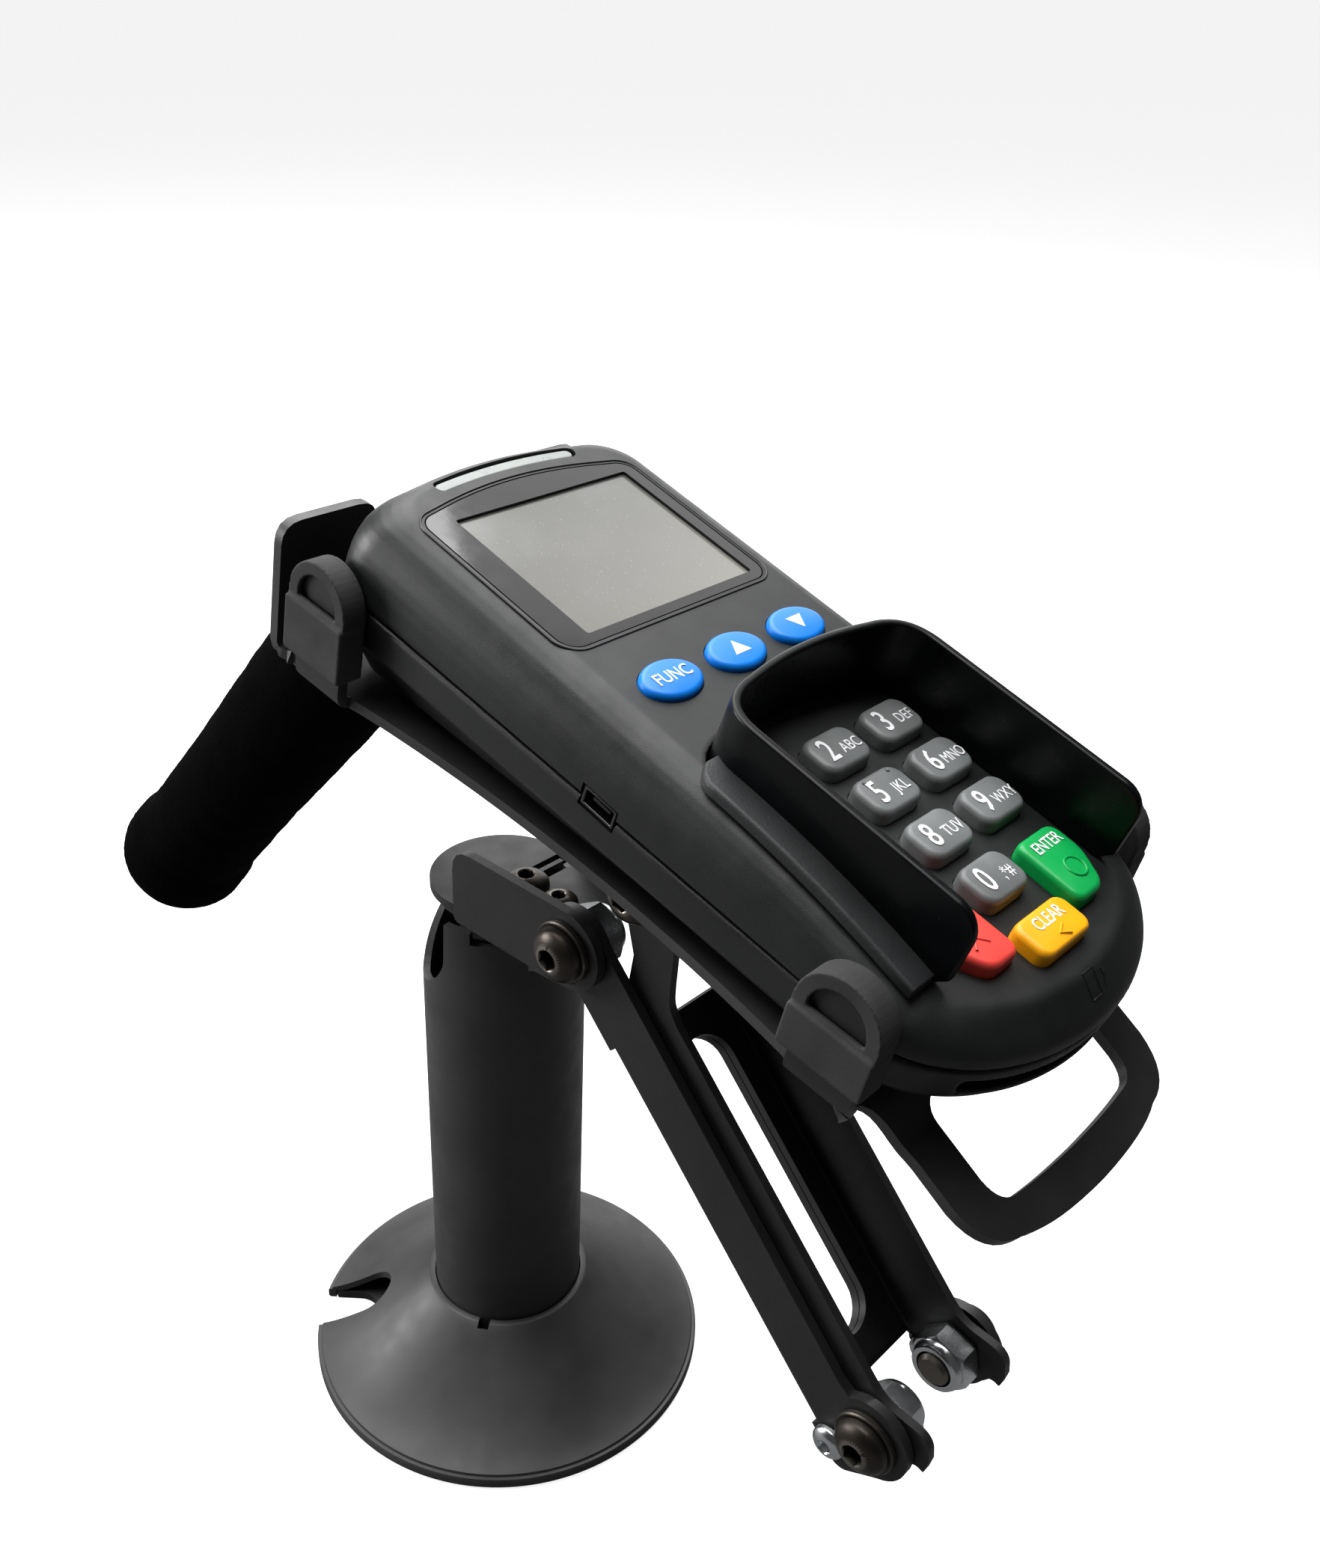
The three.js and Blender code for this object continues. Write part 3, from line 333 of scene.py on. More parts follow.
def tube(name, points, radius, place, closed=False):
    """A round bar along a smooth line."""
    curve = bpy.data.curves.new(name, "CURVE")
    curve.dimensions = "3D"
    spline = curve.splines.new("POLY")
    spline.points.add(len(points) - 1)
    for target, point in zip(spline.points, points):
        target.co = (*(Vector(point) * MM), 1)
    spline.use_cyclic_u = closed
    curve.bevel_depth = radius * MM
    curve.bevel_resolution = 3
    curve.use_fill_caps = True
    return shade(linked(name, curve_mesh(curve), place))


def merge(name, items):
    """Joins meshes that share one local frame into the first of them."""
    mesh = bmesh.new()
    for item in items:
        mesh.from_mesh(item.data)
    first = items[0]
    mesh.to_mesh(first.data)
    mesh.free()
    for item in items[1:]:
        bpy.data.objects.remove(item)
    first.name = name
    first.data.name = name
    return shade(first)


def settle(item, body, materials, nodes=()):
    """Gives a piece its materials and its body, and hides the nodes it stands for."""
    for i, material in enumerate(materials):
        if i < len(item.data.materials):
            item.data.materials[i] = material
        else:
            item.data.materials.append(material)
    while len(item.data.materials) > len(materials):
        item.data.materials.pop()
    if len(materials) == 1:
        item.data.polygons.foreach_set("material_index", [0] * len(item.data.polygons))
    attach(item, body)
    if nodes:
        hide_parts(*nodes)
    return item


# ---------- materials ----------
def shaded(name):
    """A new material with its node tree and main shader."""
    material = bpy.data.materials.new(name)
    material.use_nodes = True
    return material, material.node_tree, material.node_tree.nodes["Principled BSDF"]


def set_inputs(node, values):
    for entry, value in values.items():
        node.inputs[entry].default_value = value


def link(tree, source, output, target, entry):
    tree.links.new(source.outputs[output], target.inputs[entry])


def noise_node(tree, coords, scale, detail=2.0, roughness=0.5):
    node = tree.nodes.new("ShaderNodeTexNoise")
    set_inputs(node, {"Scale": scale, "Detail": detail, "Roughness": roughness})
    link(tree, coords, "Object", node, "Vector")
    return node


def range_node(tree, source, output, low, high, to_low, to_high):
    node = tree.nodes.new("ShaderNodeMapRange")
    set_inputs(node, {"From Min": low, "From Max": high, "To Min": to_low, "To Max": to_high})
    link(tree, source, output, node, "Value")
    return node


def mix_colours(tree, factor, output, first, second):
    """Mixes two colours, each a value or a (node, output) pair, by a factor node."""
    node = tree.nodes.new("ShaderNodeMix")
    node.data_type = "RGBA"
    link(tree, factor, output, node, "Factor")
    for entry, colour in ((6, first), (7, second)):
        if isinstance(colour[0], bpy.types.Node):
            tree.links.new(colour[0].outputs[colour[1]], node.inputs[entry])
        else:
            node.inputs[entry].default_value = (*colour, 1)
    return node


# Scales of the textures, in repeats per metre.
CLOUD_SCALE = 45
GLOSS_SCALE = 160
DUST_SCALE = 2600


def surface(name, colour, roughness, grain, depth, spread=0.2, metallic=0.0, rough_spread=0.06,
            dust=0.0, wear=None, glow=0.0, specular=0.4):
    """A procedural surface: clouded colour, grain, uneven gloss, dust and worn edges.

    grain is the size of the surface's texture in millimetres and depth its height as a share of that."""
    material, tree, shader = shaded(name)
    coords = tree.nodes.new("ShaderNodeTexCoord")
    cloud = noise_node(tree, coords, CLOUD_SCALE, 3.0)
    dark = [c * (1 - spread) for c in colour]
    light = [min(1.0, c * (1 + spread)) for c in colour]
    spread_range = range_node(tree, cloud, "Fac", 0.35, 0.65, 0, 1)
    tone = mix_colours(tree, spread_range, "Result", dark, light)
    result = (tone, 2)
    if wear is not None:
        shape = tree.nodes.new("ShaderNodeNewGeometry")
        worn = range_node(tree, shape, "Pointiness", 0.53, 0.6, 0, 0.8)
        edge = mix_colours(tree, worn, "Result", result, wear)
        result = (edge, 2)
    if dust > 0:
        specks = noise_node(tree, coords, DUST_SCALE, 1.0)
        fleck = range_node(tree, specks, "Fac", 0.78 - dust * 0.1, 0.86, 0, 0.3)
        dusty = mix_colours(tree, fleck, "Result", result, (0.2, 0.2, 0.2))
        result = (dusty, 2)
    tree.links.new(result[0].outputs[result[1]], shader.inputs["Base Color"])
    gloss = noise_node(tree, coords, GLOSS_SCALE, 4.0)
    low = max(0.02, roughness - rough_spread)
    uneven = range_node(tree, gloss, "Fac", 0.3, 0.7, low, min(1.0, roughness + rough_spread))
    link(tree, uneven, "Result", shader, "Roughness")
    texture = noise_node(tree, coords, 1 / (grain * MM), 2.0, 0.6)
    relief = tree.nodes.new("ShaderNodeBump")
    set_inputs(relief, {"Strength": 1.0, "Distance": grain * MM * depth})
    link(tree, texture, "Fac", relief, "Height")
    link(tree, relief, "Normal", shader, "Normal")
    set_inputs(shader, {"Metallic": metallic, "Specular IOR Level": specular})
    if glow > 0:
        set_inputs(shader, {"Subsurface Weight": glow, "Subsurface Radius": (0.004, 0.004, 0.004),
                            "Subsurface Scale": 1.0})
    return material


def display_surface():
    """The unlit panel: warm grey, darker toward its far and left edges as painted shade from the window's
    recess, with fine rows of cells.
    """
    material, tree, shader = shaded("lcd_panel")
    coords = tree.nodes.new("ShaderNodeTexCoord")
    split = tree.nodes.new("ShaderNodeSeparateXYZ")
    link(tree, coords, "Object", split, "Vector")
    # Painted shade: the colour darkens toward the panel's left edge and toward its far edge, standing in for
    # the shadow inside the window's recess.
    across = range_node(tree, split, "X", SCREEN["left"] * MM, SCREEN["right"] * MM, 0, 1)
    along = range_node(tree, split, "Y", SCREEN["near"] * MM, SCREEN["far"] * MM, 0, 1)
    near = mix_colours(tree, across, "Result", (0.14, 0.135, 0.12), (0.2, 0.195, 0.175))
    tone = mix_colours(tree, along, "Result", (near, 2), (0.1, 0.1, 0.092))
    cloud = noise_node(tree, coords, 60, 4.0)
    haze = range_node(tree, cloud, "Fac", 0.45, 0.75, 0, 0.2)
    misted = mix_colours(tree, haze, "Result", (tone, 2), (0.2, 0.2, 0.19))
    specks = noise_node(tree, coords, 2200, 0.0)
    fleck = range_node(tree, specks, "Fac", 0.78, 0.84, 0, 0.35)
    dusty = mix_colours(tree, fleck, "Result", (misted, 2), (0.4, 0.4, 0.39))
    rows = tree.nodes.new("ShaderNodeTexWave")
    rows.inputs["Scale"].default_value = 900
    rows.bands_direction = "Y"
    link(tree, coords, "Object", rows, "Vector")
    lines = range_node(tree, rows, "Fac", 0, 1, 0, 0.06)
    ruled = mix_colours(tree, lines, "Result", (dusty, 2), (0.05, 0.05, 0.05))
    tree.links.new(ruled.outputs[2], shader.inputs["Base Color"])
    smear = range_node(tree, cloud, "Fac", 0.3, 0.7, 0.1, 0.22)
    link(tree, smear, "Result", shader, "Roughness")
    set_inputs(shader, {"Coat Weight": 0.3, "Coat Roughness": 0.08})
    return material


LOOKS = {
    "powder": surface("powder_coat", (0.015, 0.015, 0.015), 0.5, 0.5, 0.05, dust=0.1),
    "powder_edge": surface("powder_edge", (0.035, 0.034, 0.034), 0.42, 0.45, 0.06),
    "pole": surface("pole_paint", (0.028, 0.029, 0.028), 0.44, 0.6, 0.025, dust=0.1),
    "base": surface("base_cover", (0.038, 0.038, 0.038), 0.46, 0.55, 0.025, dust=0.1),
    "plate": surface("base_plate", (0.03, 0.03, 0.032), 0.5, 0.8, 0.05),
    "case": surface("case_plastic", (0.0095, 0.0105, 0.0105), 0.46, 0.3, 0.06, dust=0.25),
    "lower_case": surface("lower_case_plastic", (0.008, 0.0085, 0.009), 0.46, 0.3, 0.04, dust=0.2),
    "shield": surface("shield_plastic", (0.002, 0.0024, 0.0028), 0.3, 0.5, 0.012, dust=0.05, specular=0.2),
    "ledge": surface("ledge_texture", (0.017, 0.018, 0.019), 0.55, 0.6, 0.09, dust=0.2),
    "rubber": surface("sleeve_rubber", (0.036, 0.036, 0.036), 0.8, 0.5, 0.06, dust=0.5, spread=0.3),
    "foam": surface("grip_foam", (0.0012, 0.0012, 0.0012), 1.0, 0.5, 0.3, specular=0.02, rough_spread=0.0),
    "zinc": surface("zinc_plate", (0.74, 0.76, 0.78), 0.24, 0.5, 0.03, metallic=1.0, rough_spread=0.1),
    "black_steel": surface("black_oxide", (0.05, 0.042, 0.036), 0.36, 0.35, 0.05, metallic=0.85,
                           rough_spread=0.1, wear=(0.22, 0.2, 0.18)),
    "grey_key": surface("grey_key", (0.15, 0.158, 0.158), 0.36, 0.4, 0.03, dust=0.3),
    "blue_key": surface("blue_key", (0.001, 0.2, 0.78), 0.34, 0.4, 0.02, spread=0.08),
    "red_key": surface("red_key", (0.85, 0.07, 0.055), 0.36, 0.4, 0.02, spread=0.06),
    "yellow_key": surface("yellow_key", (0.95, 0.42, 0.006), 0.36, 0.4, 0.02, spread=0.06),
    "green_key": surface("green_key", (0.002, 0.36, 0.075), 0.36, 0.4, 0.02, spread=0.06),
    "print": surface("white_print", (0.82, 0.83, 0.84), 0.5, 0.4, 0.02, spread=0.05),
    "window": surface("window_border", (0.006, 0.006, 0.007), 0.08, 1.0, 0.002, dust=0.3,
                      rough_spread=0.03),
    "rim": surface("window_rim", (0.008, 0.008, 0.009), 0.35, 0.5, 0.01),
    "bar": surface("light_bar", (0.3, 0.32, 0.31), 0.3, 0.6, 0.01, spread=0.1, glow=0.2),
    "port": surface("port_shell", (0.12, 0.12, 0.12), 0.3, 0.5, 0.02, metallic=1.0),
    "socket": surface("port_tongue", (0.008, 0.008, 0.008), 0.5, 0.4, 0.03),
    "board": surface("circuit_board", (0.02, 0.14, 0.05), 0.4, 0.6, 0.05),
    "mat": surface("key_mat", (0.05, 0.05, 0.05), 0.8, 0.5, 0.05),
    "inner_plastic": surface("inner_plastic", (0.03, 0.03, 0.03), 0.55, 0.5, 0.04),
    "lcd": display_surface(),
}
for name, look in (("pole_bush", "inner_plastic"), ("retaining_ring", "zinc"), ("grip_rod", "black_steel"),
                   ("key_mat", "mat"), ("main_board", "board"), ("card_reader", "inner_plastic")):
    frame["nodes"][name].data.materials.clear()
    frame["nodes"][name].data.materials.append(LOOKS[look])


# ---------- stand ----------
def base_notch(name, inner, half, low, high):
    """A slot with a round inner end, cut in from the rim."""
    outline = [(FAR, half)] + arc(inner, 0, half, 90, 270, 16) + [(FAR, -half)]
    turn = Matrix.Rotation(math.radians(NOTCH["angle"]), 4, "Z")
    return prism(name, outline, low, high, turn)


def make_base():
    edge, rim, collar, height = BASE["radius"], BASE["rim"], BASE["collar"], BASE["height"]
    shell, plate = BASE["shell"], BASE["plate"]
    steps = [i / 24 for i in range(25)]
    outside = [(collar + (edge - collar) * (1 - k), rim + (height - rim) * k ** 1.35) for k in steps]
    under = [(min(r, edge - shell), max(z - shell, plate + 0.3)) for r, z in reversed(outside)]
    bore = POLE["radius"] + 0.3
    profile = ([(edge - 0.5, 0.3), (edge, 0.8), (edge, rim - 0.9), (edge - 0.3, rim - 0.45),
                (edge - 1.1, rim - 0.4)]
               + outside[1:-1]
               + [(collar + 0.1, height - 0.25), (collar - 0.3, height), (bore, height),
                  (bore, height - shell)]
               + under + [(edge - shell, 0.3)])
    cover = revolve("base_cover_shell", profile, STAND, 160)
    seam = box("seam", (collar - 2.5, -1.5, height - 2.2), (collar + 1.2, 1.5, height + 2),
               Matrix.Rotation(math.radians(-150), 4, "Z"))
    combine(cover, [base_notch("notch", NOTCH["inner"], NOTCH["half"], -2, 22), seam])
    settle(shade(cover, 40), "stand", [LOOKS["base"]], ["base_cover"])
    disc_edge = edge - shell - 0.4
    disc = revolve("base_weight", [(0, 0), (disc_edge - 0.4, 0), (disc_edge, 0.4), (disc_edge, plate - 0.3),
                                   (disc_edge - 0.3, plate), (0, plate)], STAND, 128)
    combine(disc, [base_notch("notch", NOTCH["inner"] + 4, NOTCH["half"], -2, 6)])
    settle(shade(disc), "stand", [LOOKS["plate"]], ["base_plate"])


def make_pole():
    """A flat blank with its cable window and small notch, rolled into a tube."""
    radius, low, high = POLE["radius"], POLE["bottom"], POLE["top"]
    turn = math.radians(1) * radius
    window = round_corners([(angle * turn, z) for angle, z in POLE_WINDOW], 2.5, closed=False, least=5)
    small, half, depth = POLE["notch_angle"] * turn, POLE["notch_half"], POLE["notch"]
    outline = ([(0, low), (360 * turn, low), (360 * turn, high), (small + half, high),
                (small + half, high - depth), (small - half, high - depth), (small - half, high)]
               + window[::-1] + [(0, high)])
    cuts = [i * turn * 3 for i in range(1, 120)]
    tube_wall = folded("pole_wall", [outline], cuts, [], lambda x, y: (
        radius * math.cos(x / radius), radius * math.sin(x / radius), y), POLE["wall"], STAND, edge=0.25)
    settle(tube_wall, "stand", [LOOKS["pole"], LOOKS["pole"]], ["pole_tube"])


def make_cap():
    radius, low, high = CAP["radius"], CAP["low"], CAP["low"] + CAP["thickness"]
    spigot = CAP["spigot"]
    stem = [(0, 137), (spigot - 0.6, 137), (spigot, 137.6), (spigot, low)]
    disc = [(radius - 0.3, low), (radius, low + 0.3), (radius, high - 0.3), (radius - 0.3, high), (0, high)]
    cap = revolve("swivel_hub", stem + disc, STAND)
    settle(shade(cap), "swivel_head", [LOOKS["powder"]], ["swivel_cap"])


# ---------- folded sheet metal ----------
SHEET_LOOKS = [LOOKS["powder"], LOOKS["powder_edge"]]


def channel(outer, web, radius, direction=1):
    """Fold of a U channel: web at z = web, flanges turned toward +Z or -Z, outer faces at x = +-outer."""
    flat = outer - radius
    turn = radius * math.pi / 2

    def fold(x, y, bent=(-1e9, 1e9)):
        side = 1 if x >= 0 else -1
        s = abs(x)
        if not bent[0] - 0.2 < y < bent[1] + 0.2 and s > flat + turn - radius - 0.01:
            return side * outer, y, web + direction * (s - flat - turn + radius)
        if s <= flat:
            return x, y, web
        if s <= flat + turn:
            t = (s - flat) / radius
            return side * (flat + radius * math.sin(t)), y, web + direction * radius * (1 - math.cos(t))
        return side * outer, y, web + direction * (radius + s - flat - turn)

    def reach(z):
        return flat + turn - radius + abs(z - web)

    cuts = [side * (flat + turn * k / 5) for side in (-1, 1) for k in range(6)]
    return fold, reach, cuts


def stadium(half, near, far, steps=14):
    return arc(0, near + half, half, 180, 360, steps) + arc(0, far - half, half, 0, 180, steps)


def channel_part(name, outer, web, radius, sheet, bent, flange, place, holes=(), direction=1):
    """flange runs in (y, z) from the web's near end round the flange to its far end."""
    fold, reach, cuts = channel(outer, web, radius, direction)
    right = [(reach(z), y) for y, z in flange]
    left = [(-x, y) for x, y in reversed(right)]
    near_far = [bent[0] - 0.25, bent[0] - 0.15, bent[1] + 0.15, bent[1] + 0.25]
    facing = (0, 0, -direction)
    return folded(name, [right + left, *holes], cuts, near_far,
                  lambda x, y: fold(x, y, bent), sheet, place, facing)


WEB_HOLE = stadium(SLOT["half"], SLOT["near"], SLOT["far"])


def make_lower_arm():
    y, z = ELBOW
    web, top = LOWER["web"], LOWER["open"]
    flange = round_corners(
        [(WEB[0], web), (y - 4.5, web - 0.3), (y - 6.8, web + 1.4)]
        + arc(y, z, LOWER["elbow"], 202, 8, 22)
        + [(y + 13, top), (-5.5, top)]
        + arc(0, 0, LOWER["shoulder"], 110, -126, 22)
        + [(-8, web), (WEB[1], web)], 2.5, least=24)
    item = channel_part("lower_arm_channel", LOWER["outer"], web, 3.0, LOWER["sheet"], WEB, flange, ARM,
                        [WEB_HOLE])
    settle(item, "lower_link", SHEET_LOOKS, ["lower_arm"])


def make_upper_arm():
    y, z = ELBOW
    web, top = UPPER["web"], UPPER["open"]
    hook = [(-7.6, 5.2), (-8.4, 6.6), (-9.9, 7.1), (-7.6, 10.4), (-4.6, 12.6), (-2, 12.7), (0.5, 10.9)]
    flange = round_corners(
        [(WEB[0], web), (y + 3.5, -0.2)]
        + arc(y, z, UPPER["elbow"], 275, 162, 16)
        + [(y + a, z + b) for a, b in hook]
        + [(y + 6, top), (-25, top), (-20.5, 14.6), (-16.5, 18.6)]
        + arc(TILT[0], TILT[1], UPPER["ear"], 138, -35, 20)
        + [(-7.5, 12.8), (-15.5, 2.5), (WEB[1] + 3, web), (WEB[1], web)], 4, least=24)
    item = channel_part("upper_arm_channel", UPPER["outer"], web, 2.8, UPPER["sheet"], WEB, flange, ARM,
                        [WEB_HOLE])
    settle(item, "upper_link", SHEET_LOOKS, ["upper_arm"])


def make_swivel_bracket():
    y, z = SHOULDER
    floor, top = BRACKET["floor"], SHOULDER[1] + BRACKET["end"]
    bent = (BRACKET["front"], BRACKET["back"])
    flange = round_corners(
        [(bent[0], floor), (bent[0] - 1.5, floor + 1.2)]
        + arc(y, z, BRACKET["end"], 262, 90, 24)
        + [(bent[1], top), (bent[1], floor + 3), (bent[1] - 1, floor)], 6, least=24)
    item = channel_part("swivel_channel", BRACKET["half"], floor, 2.8, BRACKET["sheet"], bent, flange, STAND)
    settle(item, "swivel_head", SHEET_LOOKS, ["swivel_bracket"])
    make_round_back()


def make_round_back():
    """The bracket's floor behind its flanges, with a relief notch beside each."""
    floor, back, relief = BRACKET["floor"], BRACKET["back"] + 0.35, 1.3
    reach = math.degrees(math.acos(back / BRACKET["round"]))
    outline = arc(0, 0, BRACKET["round"], 90 - reach, 90 + reach, 48)
    plate = prism("swivel_round_plate", round_corners(outline, 1.5), floor, floor + BRACKET["sheet"], STAND)
    notches = [box("notch", (x - relief, back - 1, floor - 1), (x + relief, back + 3.2, floor + 4), STAND)
               for x in (-15.5, 15.5)]
    combine(plate, notches)
    settle(bevel(plate, 0.3), "swivel_head", [LOOKS["powder"]])


def make_tray_bracket():
    top = PLATE["top"] - PLATE["sheet"] - 0.3
    flange = round_corners(
        [(-18, top), (-18, top - 4), (-7.6, -3.9)] + arc(0, 0, 8.5, 207, 333, 16)
        + [(7.6, -3.9), (18, top - 4), (18, top)], 2.5, least=24)
    item = channel_part("tray_saddle", 18.3, top, 2.8, 2.2, (-18, 18), flange, TRAY, direction=-1)
    settle(item, "holder", SHEET_LOOKS, ["tray_bracket"])


def loop_height(y):
    ease = smoothstep(-y, 62, 76)
    slope = 4.5 + (y + 80.8) * math.tan(math.radians(22.3))
    return PLATE["top"] * (1 - ease) + slope * ease


def quadratic(start, middle, end, steps=8):
    a, b, c = Vector(start), Vector(middle), Vector(end)
    shares = [i / steps for i in range(steps + 1)]
    return [tuple(a * (1 - t) ** 2 + b * 2 * t * (1 - t) + c * t * t) for t in shares]


def make_tray():
    """One blank: plate, front handle loop, four clip tabs, two rear wings and the rear grip's tab."""
    top, inner, bend = PLATE["top"], CLIP["inside"], 1.2
    quarter = bend * math.pi / 2
    tab_start = inner - bend
    wing_start = PLATE["back"] - PLATE["sheet"] - bend
    wing_tip = wing_start + quarter + PLATE["wing"] - bend
    tab_angle = math.radians(90 - GRIP["angle"])
    tab_bend = 4.0

    def tab(end):
        half, middle = CLIP["half"], CLIP[end]
        centre = tab_start + quarter + TAB_TOP[end] - top - bend - half
        return ([(PLATE["end"], middle - half)] + arc(centre, middle, half, -90, 90, 14)
                + [(PLATE["end"], middle + half)])

    middle = (CLIP["front"] + CLIP["rear"]) / 2
    reach = CLIP["rear"] - CLIP["half"] - 1 - middle
    waist = [(PLATE["waist"] + (PLATE["end"] - PLATE["waist"]) * k * k, middle + reach * k)
             for k in [i / 10 for i in range(-10, 11)]]
    half, near = LOOP["half"], LOOP["near"]
    front = (quadratic((0, near + 0.3), (half * 0.5, near + 0.5), (half - 10, near + 3))
             + quadratic((half - 10, near + 3), (half - 1, near + 4), (half, near + 13))[1:]
             + quadratic((half, -79), (half + 0.5, -70), (half + 6, -66.9)))
    wing = round_corners([(PLATE["end"], wing_start - 2), (42, wing_start + 1), (42, wing_tip),
                          (18, wing_tip), (18, wing_start - 1), (15, wing_start - 1),
                          (15, wing_start + 25)], 5, least=24, closed=False)
    right = front + tab("front") + waist + tab("rear") + wing + [(0, wing_start + 25)]
    left = [(-x, y) for x, y in reversed(right)][1:-1]
    hole_half, hole_near, hole_far = LOOP["inner"], LOOP["inner_near"], LOOP["inner_far"]
    hole_right = (quadratic((0, hole_near), (hole_half * 0.5, hole_near + 0.1),
                            (hole_half - 5, hole_near + 0.9))
                  + quadratic((hole_half - 5, hole_near + 0.9), (hole_half - 0.5, hole_near + 1),
                              (hole_half, hole_near + 6))[1:]
                  + arc(hole_half - 3, hole_far - 3, 3, 0, 90, 5))
    hole = hole_right + [(-x, y) for x, y in reversed(hole_right)][:-1]

    def fold(x, y):
        side = 1 if x >= 0 else -1
        s = abs(x) - tab_start
        if y < wing_start - 1.5 and s > 0:
            if s <= quarter:
                t = s / bend
                return side * (tab_start + bend * math.sin(t)), y, top + bend * (1 - math.cos(t))
            return side * inner, y, top + bend + s - quarter
        s = y - wing_start
        if s > 0 and abs(x) > 16.5:
            if s <= quarter:
                t = s / bend
                return x, wing_start + bend * math.sin(t), top + bend * (1 - math.cos(t))
            return x, wing_start + bend, top + bend + s - quarter
        if s > 0:
            t = min(s / tab_bend, tab_angle)
            rest = s - t * tab_bend
            return (x, wing_start + tab_bend * math.sin(t) + rest * math.cos(t),
                    top + tab_bend * (1 - math.cos(t)) + rest * math.sin(t))
        return x, y, loop_height(y)

    cuts_x = [side * (tab_start + quarter * k / 4) for side in (-1, 1) for k in range(5)]
    cuts_y = ([wing_start + quarter * k / 4 for k in range(5)] + [-60 - k for k in range(0, 20)]
              + [wing_start + tab_bend * tab_angle])
    item = folded("tray_sheet", [right + left, hole], cuts_x, cuts_y, fold, PLATE["sheet"], TRAY,
                  (0, 0, 1), 0.45)
    settle(item, "holder", SHEET_LOOKS, ["tray"])


# ---------- fasteners ----------
def along_x(frame_place, side, x, y, z):
    """A place on a local frame whose +Z points outward along side * X."""
    turn = Matrix.Rotation(math.radians(90 * side), 4, "Y")
    return frame_place @ Matrix.Translation((side * x * MM, y * MM, z * MM)) @ turn


def thread(radius, low, high, pitch=1.0):
    count = int((high - low) / pitch)
    points = []
    for i in range(count):
        z = low + i * pitch
        points += [(radius - 0.45, z), (radius, z + pitch * 0.45), (radius, z + pitch * 0.6)]
    return points


# Across a lock nut's corners, halved.
NUT_RADIUS = 7.4


def hexagon(radius):
    return [(x, y) for x, y, _ in circle(radius, 0, 6)]


def button_screw(name, head, height, socket, shank, length, place, washer=0.0, threaded=True):
    """Button head with a hex socket, on its washer; z = 0 is the washer's underside."""
    base = washer
    dome = [(head * math.cos(a), base + 0.5 + (height - 0.5) * math.sin(a))
            for a in [math.radians(6 + 76 * i / 10) for i in range(11)]]
    stem = [(shank - 0.8, -length), (shank, -length + 0.9)]
    if threaded:
        stem += thread(shank, -length + 1.2, -length + 9)
    stem += [(shank, -0.2)]
    skirt = [(7.0, 0), (7.2, 0.2), (7.2, washer - 0.3), (6.9, washer)] if washer else [(shank, 0)]
    profile = ([(0, -length)] + stem + skirt
               + [(head - 0.3, base), (head, base + 0.25)] + dome[1:] + [(0, base + height)])
    item = revolve(name, profile, place, 64)
    tool = prism("hexagon", hexagon(socket), base + height * 0.3, base + height + 3, place)
    cone = revolve("cone", [(0, base + height - 1.0), (socket * 0.86, base + height - 0.55),
                            (socket * 1.3, base + height + 0.2), (0, base + height + 1)], place, 32)
    combine(item, [tool, cone])
    return shade(item, 32)


def lock_nut(name, place, depth):
    """Hexagon with chamfered corners and a domed collar; z = 0 is the bearing face."""
    item = prism(name, hexagon(NUT_RADIUS), 0, depth - 1.9, place)
    round_off = revolve("round", [(0, 0), (6.9, 0), (7.45, 0.5), (7.45, depth - 2.5), (6.7, depth - 1.9),
                                  (0, depth - 1.9)], place, 48)
    combine(item, [round_off], "INTERSECT")
    collar = revolve("collar", [(0, depth - 2.3), (6.15, depth - 2.3), (6.1, depth - 1.0), (5.7, depth - 0.2),
                                (5.2, depth), (0, depth)], place, 48)
    combine(item, [collar], "UNION")
    bore = revolve("bore", [(0, -1), (4.2, -1), (4.2, depth - 0.6), (4.6, depth + 1), (0, depth + 1)],
                   place, 32)
    combine(item, [bore])
    return bevel(item, 0.12, 2, 25)


